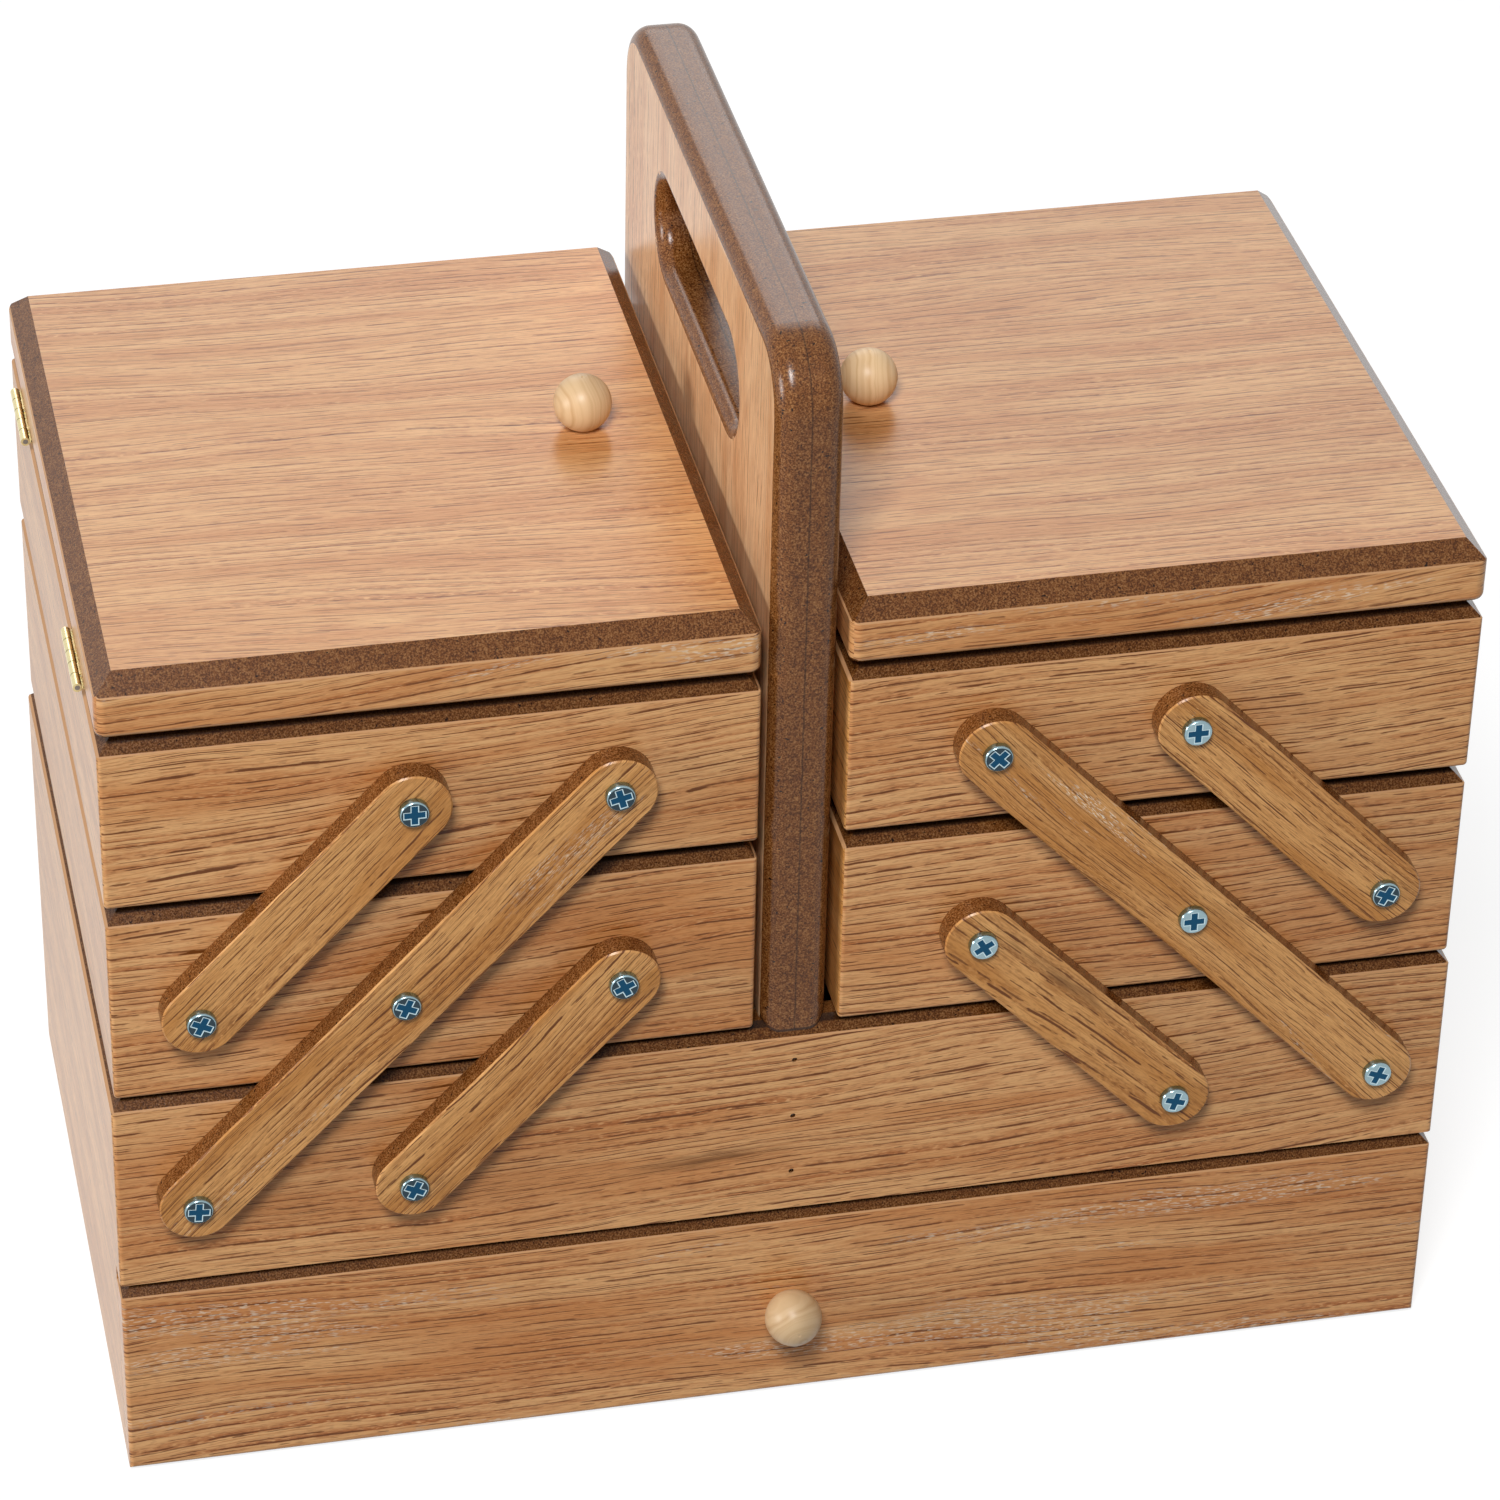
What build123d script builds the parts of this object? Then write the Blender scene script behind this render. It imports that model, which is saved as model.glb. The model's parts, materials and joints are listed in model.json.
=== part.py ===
from build123d import *
import os

# Wooden sewing carrier. The base holds a drawer below and two compartments above it, parted by the
# upright carrying board. On each side of that board a middle tray and a lidded top tray hang on wooden
# arms, and swing outwards and down like the trays of a cantilever toolbox.
#
# Frame: X to the right, Y to the back, Z up, millimetres. The origin is the centre of the underside.
# Everything beside the carrying board is drawn for the right-hand half and mirrored for the left.

# ---- overall sizes
width = 350.0  # base and drawer front, side to side
depth = 194.0  # front face to back face of every box
carcase_height = 121.0  # underside to the base's rim
drawer_level = 62.0  # lower edge of the base's front board
mid_tray_height = 56.5
top_tray_height = 48.5
lid_thickness = 16.5

# ---- boards and floors
board = 9.0  # veneered fibreboard of all the walls
ply = 3.0  # plywood floors
groove_depth = 4.0  # how far a floor enters a wall
groove_play = 0.1  # play of a floor in its groove
tray_groove_lift = 3.0  # wall left under a tray's floor
shelf_groove_lift = 3.0  # wall left under the compartment floor
rebate_width = 4.5  # how far the bottom enters the base's walls
top_bevel = 4.0  # bevel round the top outer edges of base and trays
lid_bevel = 5.0  # bevel round the top of a lid
box_ease = 1.2  # rounding of the upright corners and lower edges of base, trays and drawer front
lid_corner = 2.8  # rounding of a lid's upright corners
lid_ease = 2.0  # rounding of its lower edges

# ---- gaps between the boxes
tray_inset = 1.0  # outer faces of the trays behind the base's side faces
handle_gap = 2.5  # between the carrying board and the trays beside it
base_gap = 0.5  # under the middle trays
tray_gap = 1.5  # under the top trays

# ---- carrying board
handle_thickness = 17.0
handle_top = 316.0  # top edge above the underside
handle_setback = 1.4  # its upright edges behind the boxes' front and back faces
handle_corner = 18.0  # radius of its top corners
handle_round = 5.0  # rounding of its edges
tongue_play = 0.1  # between the board's tongue and the base's walls
slot_length = 108.0  # finger slot, measured on the board's faces
slot_height = 32.0
slot_round = 4.0  # rounding of the slot's edges
slot_drop = 37.0  # slot's centre line under the top edge

# ---- brads that hold the tongue, in a row at the front and at the back
brad_count = 3
brad_drop = 11.0  # top one under the base's rim
brad_lift = 12.0  # lowest one above the lower edge of the base's front board
brad_radius = 0.7
brad_length = 22.0
brad_sink = 1.2  # heads below the surface
brad_play = 0.05

# ---- drawer
drawer_front_bottom = 1.0
drawer_front_gap = 1.5  # above the drawer front
drawer_front_bevel = 3.0
drawer_face_gap = 0.3  # closed drawer front to the ends of the side walls
drawer_board = 8.0
drawer_side_height = 46.0
drawer_floor_lift = 4.0  # side left under the drawer's floor
drawer_side_play = 0.8  # beside the drawer
drawer_run_play = 0.3  # under the drawer's sides
drawer_back_play = 3.0  # behind the closed drawer

# ---- arms and their pivots
arm_width = 19.5
arm_thickness = 6.5
arm_gap = 0.3  # between an arm and the boxes' faces
arm_ease = 0.4  # eased edges of an arm's outer face
pivot_inset = 20.0  # long arm's base pivot, in from the base's side face
base_pivot_drop = 30.9  # and below the base's rim
mid_pivot_lift = 25.0  # long arm's middle pivot, above the middle tray's lower edge
top_pivot_lift = 23.4  # long arm's top pivot, above the top tray's lower edge
arm_reach = 53.7  # sideways run of an arm between base and middle tray
lower_arm_inset = 55.0  # lower arm's pivots, inwards from the long arm's
lower_arm_drop = 0.9  # and below them
upper_arm_outset = 51.0  # upper arm's pivots, outwards from the long arm's
upper_arm_lift = 1.5  # and above them
pivot_play = 0.08  # radial play of an arm on its screw
open_pivot_play = 0.25  # the same at the top ends of the short arms

# ---- pivot screws
screw_radius = 2.0
screw_head_radius = 4.0
screw_head_height = 2.4
screw_head_round = 1.5
screw_head_gap = 0.2  # between head and arm
screw_tip_cover = 1.0  # wall left beyond the screw's tip
screw_hold = 0.05  # radial play of a screw in its wood
recess_length = 4.6  # cross recess in the head
recess_width = 0.9
recess_depth = 1.4
recess_turn = 34.0  # each cross stands this much further round than the one before

# ---- hinges of the lids
leaf_length = 26.0
leaf_thickness = 0.5
leaf_gap = 0.2  # between the folded leaves
leaf_margin = 0.5  # from the leaf's free edge to the wall's inner face
hinge_inset = 38.0  # middle of a hinge, from the tray's front or back face
barrel_radius = 1.2
barrel_outset = 1.4  # pin outside the tray's outer face
barrel_clear = 0.15  # between a leaf and the other leaf's knuckles
knuckle_count = 5
knuckle_gap = 0.25
pin_radius = 0.65
pin_hold = 0.02  # radial play in the tray leaf's knuckles
pin_play = 0.05  # radial play in the lid leaf's knuckles
hinge_screw_radius = 1.0
hinge_screw_head = 1.5  # radius of the countersunk head
hinge_screw_length = 7.0
hinge_screw_spacing = 16.0
hinge_screw_inset = 6.2  # from the tray's outer face

# ---- knobs
knob_radius = 7.5
knob_seat = 7.0  # ball's centre above its board, where the ball is cut flat
tenon_radius = 2.5
tenon_cover = 2.0  # board left beyond the tenon in the drawer front
tenon_play = 0.05
lid_knob_inset = 26.4  # from the lid's inner edge

over = 1.0  # how far cutters run past the faces they cut
hanging = (Align.CENTER, Align.CENTER, Align.MAX)  # a shape centred on its top face
standing = (Align.CENTER, Align.CENTER, Align.MIN)  # and one centred on its bottom face

# ---- places worked out from the sizes
half_width = width / 2
half_depth = depth / 2
inner_half_width = half_width - board
inner_half_depth = half_depth - board
shelf_bottom = drawer_level + shelf_groove_lift
shelf_top = shelf_bottom + ply

tray_inner = handle_thickness / 2 + handle_gap
tray_outer = half_width - tray_inset
mid_bottom = carcase_height + base_gap
mid_top = mid_bottom + mid_tray_height
top_bottom = mid_top + tray_gap
top_top = top_bottom + top_tray_height
lid_bottom = top_top + 2 * leaf_thickness + leaf_gap
lid_top = lid_bottom + lid_thickness
mid_box = ((tray_inner, -half_depth, mid_bottom), (tray_outer, half_depth, mid_top))
top_box = ((tray_inner, -half_depth, top_bottom), (tray_outer, half_depth, top_top))

rise = mid_bottom + mid_pivot_lift - (carcase_height - base_pivot_drop)
upper_rise = top_bottom + top_pivot_lift - (mid_bottom + mid_pivot_lift)
lower_run = Vector(-arm_reach, 0, rise)
upper_run = lower_run * (upper_rise / rise)
long_base = Vector(half_width - pivot_inset, 0, carcase_height - base_pivot_drop)
long_mid = long_base + lower_run
long_top = long_mid + upper_run
lower_base = long_base - Vector(lower_arm_inset, 0, lower_arm_drop)
lower_top = lower_base + lower_run
upper_base = long_mid + Vector(upper_arm_outset, 0, upper_arm_lift)
upper_top = upper_base + upper_run

brad_spacing = (carcase_height - brad_drop - drawer_level - brad_lift) / (brad_count - 1)
screw_bite = board - screw_tip_cover
head_seat = arm_gap + arm_thickness + screw_head_gap
tenon_length = board - tenon_cover
pin_x = tray_outer + barrel_outset
pin_z = top_top + leaf_thickness + leaf_gap / 2


# ---- shapes that several pieces share
def block(low, high):
    """Plain block between two opposite corners."""
    size = [b - a for a, b in zip(low, high)]
    middle = [(a + b) / 2 for a, b in zip(low, high)]
    return Pos(*middle) * Box(*size)


def rod(start, direction, radius, length):
    """Round rod from a point along a direction."""
    return extrude(Plane(origin=start, z_dir=direction) * Circle(radius), length)


def eased_block(low, high, bevel, corner, ease):
    """Block with rounded upright corners and lower edges, and a bevel round its top."""
    body = block(low, high)
    bevelled = chamfer(body.edges().group_by(Axis.Z)[-1], bevel)
    eased = fillet(body.edges().filter_by(Axis.Z), corner)
    eased = fillet(eased.edges().group_by(Axis.Z)[0], ease)
    return bevelled & eased


def box_frame(low, high, groove_bottom):
    """The four walls of a box as one ring, bevelled on top and grooved inside for a floor."""
    ring = eased_block(low, high, top_bevel, box_ease, box_ease)
    inner_low = Vector(*low) + Vector(board, board, -over)
    inner_high = Vector(*high) + Vector(-board, -board, over)
    ring -= block(inner_low, inner_high)
    groove_top = groove_bottom + ply + groove_play
    groove_low = (inner_low.X - groove_depth, inner_low.Y - groove_depth, groove_bottom)
    groove_high = (inner_high.X + groove_depth, inner_high.Y + groove_depth, groove_top)
    return ring - block(groove_low, groove_high)


def floor_panel(low, high, bottom):
    """Plywood floor that fills the groove of a box frame."""
    edge = board - groove_depth + groove_play
    panel_low = (low[0] + edge, low[1] + edge, bottom)
    panel_high = (high[0] - edge, high[1] - edge, bottom + ply)
    return block(panel_low, panel_high)


def mitred_walls(ring, low, high):
    """The ring of walls cut apart on the mitres of its corners."""
    (x0, y0, z0), (x1, y1, z1) = low, high
    outer = ((x0, y0), (x1, y0), (x1, y1), (x0, y1))
    ways_in = ((1, 1), (-1, 1), (-1, -1), (1, -1))
    inner = [(x + board * i, y + board * j) for (x, y), (i, j) in zip(outer, ways_in)]
    walls = {}
    for i, name in enumerate(("front", "right", "back", "left")):
        j = (i + 1) % 4
        plan = Pos(0, 0, z0) * make_face(Polyline(outer[i], outer[j], inner[j], inner[i], close=True))
        walls[name] = ring & extrude(plan, z1 - z0, dir=(0, 0, 1))
    return walls


def on_face(pivot, face):
    """Point of a box's front (-1) or back (1) face in line with a pivot."""
    return Vector(pivot.X, face * half_depth, pivot.Z)


def pilot_holes(pivots):
    """Cutters for the screws at some pivots, through the front and the back wall."""
    radius = screw_radius + screw_hold
    return [
        rod(on_face(pivot, face), (0, -face, 0), radius, screw_bite)
        for pivot in pivots
        for face in (-1, 1)
    ]


def pivot_screws(pivots):
    """Pan-head screws with cross recesses at some pivots, on the front and on the back."""
    shank = extrude(Pos(0, 0, -screw_bite) * Circle(screw_radius), screw_bite + head_seat)
    head = extrude(Pos(0, 0, head_seat) * Circle(screw_head_radius), screw_head_height)
    head = fillet(head.edges().group_by(Axis.Z)[-1], screw_head_round)
    bar = Box(recess_length, recess_width, recess_depth, align=hanging)
    cross = Pos(0, 0, head_seat + screw_head_height) * (bar + Rot(0, 0, 90) * bar)
    screws = []
    for pivot in pivots:
        for face in (-1, 1):
            screw = shank + head - Rot(0, 0, len(screws) * recess_turn) * cross
            plane = Plane(origin=on_face(pivot, face), x_dir=(1, 0, 0), z_dir=(0, face, 0))
            screws.append(plane * screw)
    return screws


def arm_pair(start, end, holes):
    """One arm on the front and one on the back, with a hole for each pivot it turns on."""
    arms = []
    for face in (-1, 1):
        lift = Vector(0, face * arm_gap, 0)
        middle = on_face((start + end) / 2, face) + lift
        plane = Plane(origin=middle, x_dir=end - start, z_dir=(0, face, 0))
        arm = extrude(plane * SlotCenterToCenter((end - start).length, arm_width), arm_thickness)
        outer_face = arm.faces().filter_by(Axis.Y).sort_by(Axis.Y)[0 if face < 0 else -1]
        arm = chamfer(outer_face.edges(), arm_ease)
        for pivot, play in holes:
            arm -= rod(on_face(pivot, face), (0, face, 0), screw_radius + play, head_seat + over)
        arms.append(arm)
    return arms


def knob(seat, direction):
    """Turned ball with a flat foot and a tenon for its board, cut flat on the board's face."""
    ball = Pos(0, 0, knob_seat) * Sphere(knob_radius)
    foot = Box(2 * knob_radius, 2 * knob_radius, knob_radius, align=hanging)
    tenon = extrude(Pos(0, 0, -tenon_length) * Circle(tenon_radius), tenon_length + over)
    return Plane(origin=seat, z_dir=direction) * (ball - foot + tenon)


def tenon_hole(seat, direction):
    """Cutter for a knob's tenon."""
    return rod(seat, -Vector(*direction), tenon_radius + tenon_play, tenon_length)


# ---- base: mitred walls, with the drawer's mouth below the front board
base_box = ((-half_width, -half_depth, 0), (half_width, half_depth, carcase_height))
base_ring = box_frame(*base_box, shelf_bottom)
mouth_low = (-half_width - over, -half_depth - over, -over)
base_ring -= block(mouth_low, (half_width + over, -inner_half_depth, drawer_level))
rebate_reach = (inner_half_width + rebate_width, inner_half_depth + rebate_width)
base_ring -= block((-rebate_reach[0], -half_depth, -over), (*rebate_reach, ply))
for hole in pilot_holes((long_base, lower_base)):
    base_ring -= hole + mirror(hole, about=Plane.YZ)
bottom_panel = block(
    (groove_play - rebate_reach[0], -inner_half_depth, 0),
    (rebate_reach[0] - groove_play, rebate_reach[1] - groove_play, ply),
)


def carrying_board():
    """Board that stands on the base's rims, with a tongue down to the compartment floor."""
    half = handle_thickness / 2
    reach = half_depth - handle_setback
    foot = carcase_height - top_bevel - 2 * handle_round
    body = block((-half, -reach, foot), (half, reach, handle_top))
    body = fillet(body.edges().filter_by(Axis.X).group_by(Axis.Z)[-1], handle_corner)
    body = fillet(body.faces().filter_by(Axis.X).edges(), handle_round)
    slot_start = (-half - over, 0, handle_top - slot_drop)
    slot_plane = Plane(origin=slot_start, x_dir=(0, 1, 0), z_dir=(1, 0, 0))
    slot = SlotOverall(slot_length - 2 * slot_round, slot_height - 2 * slot_round)
    body -= extrude(slot_plane * slot, handle_thickness + 2 * over)
    mouths = [wire for side in body.faces().filter_by(Axis.X) for wire in side.inner_wires()]
    body = fillet([edge for wire in mouths for edge in wire.edges()], slot_round)
    tongue_reach = inner_half_depth - tongue_play
    tongue = block((-half, -tongue_reach, shelf_top), (half, tongue_reach, foot + over))
    return body - base_ring + tongue


def brads(radius, sink):
    """Rods for the brads that hold the tongue, from a depth below the surface to the brads' tips."""
    row = []
    for i in range(brad_count):
        height = carcase_height - brad_drop - i * brad_spacing
        for face in (-1, 1):
            start = (0, face * (half_depth - sink), height)
            row.append(rod(start, (0, -face, 0), radius, brad_sink + brad_length - sink))
    return row


handle_board = carrying_board()
for hole in brads(brad_radius + brad_play, 0):
    handle_board -= hole
    base_ring -= hole
base_walls = mitred_walls(base_ring, *base_box)
base_screws = pivot_screws((long_base, lower_base))

parts = {
    "base_front": [base_walls["front"]],
    "base_back": [base_walls["back"]],
    "base_left_side": [base_walls["left"]],
    "base_right_side": [base_walls["right"]],
    "base_shelf": [floor_panel(*base_box, shelf_bottom)],
    "base_bottom": [bottom_panel],
    "base_pivot_screws": base_screws + [mirror(screw, about=Plane.YZ) for screw in base_screws],
    "handle_board": [handle_board],
    "handle_brads": brads(brad_radius, brad_sink),
}


# ---- drawer: an open box with an overlaid front, sliding on the base's bottom
def drawer():
    """Pieces of the drawer by name."""
    back_of_front = -inner_half_depth - drawer_face_gap
    front_top = drawer_level - drawer_front_gap
    front_low = (-half_width, back_of_front - board, drawer_front_bottom)
    front = block(front_low, (half_width, back_of_front, front_top))
    front = chamfer(front.edges().group_by(Axis.Z)[-1].sort_by(Axis.Y)[:-1], drawer_front_bevel)
    face = front.faces().filter_by(Axis.Y).sort_by(Axis.Y)[0]
    rounded = face.edges().filter_by(Axis.Z) + face.edges().group_by(Axis.Z)[0]
    front = fillet(rounded, box_ease)

    side_x = inner_half_width - drawer_side_play
    inner_x = side_x - drawer_board
    back_y = inner_half_depth - drawer_back_play
    low_z = ply + drawer_run_play
    high_z = low_z + drawer_side_height
    floor_z = low_z + drawer_floor_lift
    reach = groove_depth - groove_play
    floor_low = (-inner_x - reach, back_of_front - reach, floor_z)
    floor_high = (inner_x + reach, back_y - drawer_board + reach, floor_z + ply)
    play = Vector(groove_play, groove_play, 0)
    groove = block(Vector(*floor_low) - play, Vector(*floor_high) + play + Vector(0, 0, groove_play))
    right = block((inner_x, back_of_front, low_z), (side_x, back_y, high_z)) - groove
    back = block((-inner_x, back_y - drawer_board, low_z), (inner_x, back_y, high_z)) - groove

    seat = (0, back_of_front - board, (drawer_front_bottom + front_top) / 2)
    return {
        "drawer_front": [front - groove - tenon_hole(seat, (0, -1, 0))],
        "drawer_left_side": [mirror(right, about=Plane.YZ)],
        "drawer_right_side": [right],
        "drawer_back": [back],
        "drawer_bottom": [block(floor_low, floor_high)],
        "drawer_knob": [knob(seat, (0, -1, 0))],
    }


# ---- hinges between a top tray and its lid
knuckle_length = (leaf_length - (knuckle_count - 1) * knuckle_gap) / knuckle_count
leaf_edge = tray_outer - board + leaf_margin
hinge_starts = [face * (half_depth - hinge_inset) - leaf_length / 2 for face in (-1, 1)]
lid_leaf_bottom = lid_bottom - leaf_thickness


def hinge_leaf(start, bottom, first_knuckle, play):
    """Leaf of a butt hinge with every other knuckle, bored for the pin."""
    plate_end = pin_x - barrel_radius - barrel_clear
    leaf = block((leaf_edge, start, bottom), (plate_end, start + leaf_length, bottom + leaf_thickness))
    for i in range(first_knuckle, knuckle_count, 2):
        near = start + i * (knuckle_length + knuckle_gap)
        far = near + knuckle_length
        leaf += block((leaf_edge, near, bottom), (pin_x, far, bottom + leaf_thickness))
        leaf += rod((pin_x, near, pin_z), (0, 1, 0), barrel_radius, knuckle_length)
    bore_start = (pin_x, start - over, pin_z)
    return leaf - rod(bore_start, (0, 1, 0), pin_radius + play, leaf_length + 2 * over)


def hinge_screws(height, direction, play):
    """Countersunk screws from a leaf's face into the wood, or with play the cutters for them."""
    radius = hinge_screw_radius + play
    head = Cone(hinge_screw_head + play, radius, leaf_thickness, align=standing)
    screw = head + Cylinder(radius, hinge_screw_length, align=standing)
    screws = []
    for start in hinge_starts:
        for side in (-1, 1):
            middle = start + leaf_length / 2 + side * hinge_screw_spacing / 2
            place = (tray_outer - hinge_screw_inset, middle, height)
            screws.append(Plane(origin=place, z_dir=(0, 0, direction)) * screw)
    return screws


# ---- one half of the carrier: arms, middle tray, top tray and lid
def tray(box, pivots, cutters):
    """Walls, floor and pivot screws of a tray, with holes in its walls for what is fixed to them."""
    low, high = box
    floor_bottom = low[2] + tray_groove_lift
    ring = box_frame(low, high, floor_bottom)
    for cutter in pilot_holes(pivots) + cutters:
        ring -= cutter
    walls = mitred_walls(ring, low, high)
    return {
        "front": [walls["front"]],
        "back": [walls["back"]],
        "outer_side": [walls["right"]],
        "inner_side": [walls["left"]],
        "floor": [floor_panel(low, high, floor_bottom)],
        "pivot_screws": pivot_screws(pivots),
    }


def right_half():
    """Pieces of the right-hand half by name."""
    long_holes = [(pivot, pivot_play) for pivot in (long_base, long_mid, long_top)]
    lower_holes = [(lower_base, pivot_play), (lower_top, open_pivot_play)]
    upper_holes = [(upper_base, pivot_play), (upper_top, open_pivot_play)]
    half = {
        "long_arms": arm_pair(long_base, long_top, long_holes),
        "lower_arms": arm_pair(lower_base, lower_top, lower_holes),
        "upper_arms": arm_pair(upper_base, upper_top, upper_holes),
    }
    tray_cutters = hinge_screws(top_top + leaf_thickness, -1, screw_hold)
    lid_cutters = hinge_screws(lid_leaf_bottom, 1, screw_hold)
    for piece, solids in tray(mid_box, (long_mid, lower_top, upper_base), []).items():
        half["mid_tray_" + piece] = solids
    for piece, solids in tray(top_box, (long_top, upper_top), tray_cutters).items():
        half["top_tray_" + piece] = solids

    seat = (tray_inner + lid_knob_inset, 0, lid_top)
    lid_far_corner = (tray_outer, half_depth, lid_top)
    lid = eased_block((tray_inner, -half_depth, lid_bottom), lid_far_corner, lid_bevel, lid_corner, lid_ease)
    for cutter in lid_cutters + [tenon_hole(seat, (0, 0, 1))]:
        lid -= cutter
    pins = [rod((pin_x, start, pin_z), (0, 1, 0), pin_radius, leaf_length) for start in hinge_starts]
    tray_leaves = [hinge_leaf(start, top_top, 0, pin_hold) for start in hinge_starts]
    lid_leaves = [hinge_leaf(start, lid_leaf_bottom, 1, pin_play) for start in hinge_starts]
    for cutter in tray_cutters:
        tray_leaves = [leaf - cutter for leaf in tray_leaves]
    for cutter in lid_cutters:
        lid_leaves = [leaf - cutter for leaf in lid_leaves]
    half["lid_board"] = [lid]
    half["lid_knob"] = [knob(seat, (0, 0, 1))]
    half["hinge_tray_leaves"] = tray_leaves
    half["hinge_lid_leaves"] = lid_leaves
    half["hinge_pins"] = pins
    half["hinge_tray_screws"] = hinge_screws(top_top + leaf_thickness, -1, 0)
    half["hinge_lid_screws"] = hinge_screws(lid_leaf_bottom, 1, 0)
    return half


parts.update(drawer())
for piece, solids in right_half().items():
    parts["right_" + piece] = solids
    parts["left_" + piece] = [mirror(solid, about=Plane.YZ) for solid in solids]

os.makedirs("parts", exist_ok=True)
for node, shapes in parts.items():
    solids = [solid for shape in shapes for solid in shape.solids()]
    export_step(solids[0] if len(solids) == 1 else Compound(children=solids), f"parts/{node}.step")
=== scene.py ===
import json
import math

import bmesh
import bpy
from bmesh.types import BMEdge, BMFace, BMVert
from bpy.props import FloatProperty, FloatVectorProperty, IntProperty, PointerProperty
from mathutils import Matrix, Vector


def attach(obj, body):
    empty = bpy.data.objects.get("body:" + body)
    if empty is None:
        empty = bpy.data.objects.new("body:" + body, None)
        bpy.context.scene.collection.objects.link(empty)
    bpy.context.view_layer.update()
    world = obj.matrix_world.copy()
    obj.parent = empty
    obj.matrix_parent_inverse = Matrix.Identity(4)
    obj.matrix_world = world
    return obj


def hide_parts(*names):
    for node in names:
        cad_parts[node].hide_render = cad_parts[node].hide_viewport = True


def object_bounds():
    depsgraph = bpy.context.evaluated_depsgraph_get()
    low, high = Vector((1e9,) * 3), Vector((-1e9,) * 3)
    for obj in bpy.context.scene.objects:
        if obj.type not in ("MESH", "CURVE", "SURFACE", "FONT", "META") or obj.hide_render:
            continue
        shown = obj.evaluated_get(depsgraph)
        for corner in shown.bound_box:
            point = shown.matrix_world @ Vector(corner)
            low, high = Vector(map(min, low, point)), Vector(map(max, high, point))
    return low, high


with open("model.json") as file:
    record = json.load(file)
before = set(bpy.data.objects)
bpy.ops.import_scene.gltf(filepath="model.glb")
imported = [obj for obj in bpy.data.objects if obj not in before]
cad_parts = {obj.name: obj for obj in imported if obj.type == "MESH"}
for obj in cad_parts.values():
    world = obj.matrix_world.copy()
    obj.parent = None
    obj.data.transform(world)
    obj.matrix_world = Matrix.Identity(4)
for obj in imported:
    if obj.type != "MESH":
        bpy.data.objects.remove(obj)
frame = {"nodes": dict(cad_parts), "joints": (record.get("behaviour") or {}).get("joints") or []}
CAD_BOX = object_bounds()

bl_info = {
    "name": "Sewing Carrier",
    "version": (1, 0, 0),
    "blender": (4, 5, 0),
    "location": "View3D > Sidebar > Carrier",
    "description": "Dresses a wooden sewing carrier in oak veneer, fibreboard, beech, zinc and brass",
    "category": "Object",
}

MM = 0.001
RIM_BEVEL = 4.0  # mm, bevel round the base's rim
HEAD_IN_CAD = 2.4  # mm, height of a screw's plain head
HEAD_OVER_THREAD = 1.9  # a screw head's radius over its thread's
SHOULDER_STEPS = 6  # rings from a screw head's flat top to its rim
SHOULDER_DROP = 0.55  # share of a screw head's height that its shoulder falls
FACE_SHARE = 0.87  # share of a screw head's radius that its face takes, inside its bright rim
LIP_DROP = 0.1  # mm, fall of the recess's lip
FLOOR_LENGTH, FLOOR_WIDTH = 0.5, 0.7  # what the recess's floor keeps of its length and of its wings' width
FLOOR_POINT = 0.4  # mm, depth of the point in the recess's floor
KNOB_FOOT = 0.5  # mm, how much of a knob's ball its flat foot takes off
DIMPLE_RADIUS, DIMPLE_DEPTH = 0.5, 0.25  # mm, of the dimple at a knob's tip
TENON_RADIUS = 2.5  # mm, of the tenon behind a knob's foot
UPRIGHT = 0.3  # how far a normal may rise and its face still count as upright
FLAT = 0.98  # how far a normal has to point across a board for its face to be the board's flat face
ARM_FACE = 0.3  # how far a normal has to point across an arm for its face to be veneered
NO_END = -10.0  # mm, nearest face across of a board that spans the middle
FLOOR_HALF = 6.0  # m, from the floor's middle to its edge
CAMERA_TURN = tuple(math.radians(angle) for angle in (12.89, 33.89, 1.38))  # azimuth, elevation, roll
CAMERA_AIM = (8.5, 0.0, 140.5)  # mm
PAPER_SEEN, PAPER_GLOW = (0.34, 0.34, 0.34, 1.0), 0.78  # colour of the floor as it is seen, and its own light
SIDES = ("left", "right")
ALONG_X, ALONG_Y, ALONG_Z = Vector((1, 0, 0)), Vector((0, 1, 0)), Vector((0, 0, 1))


def linear(code):
    """Linear colour of an sRGB hex value."""
    shares = [int(code[i : i + 2], 16) / 255 for i in (1, 3, 5)]
    return tuple(s / 12.92 if s <= 0.04045 else ((s + 0.055) / 1.055) ** 2.4 for s in shares) + (1.0,)


def colour(name, description, code):
    """Colour property with an sRGB hex value as its default."""
    return FloatVectorProperty(
        name=name, description=description, subtype="COLOR", size=4, min=0, max=1, default=linear(code)
    )


def millimetres(name, description, default):
    """Length property in millimetres."""
    return FloatProperty(name=name, description=description, default=default, min=0, soft_max=100)


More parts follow.
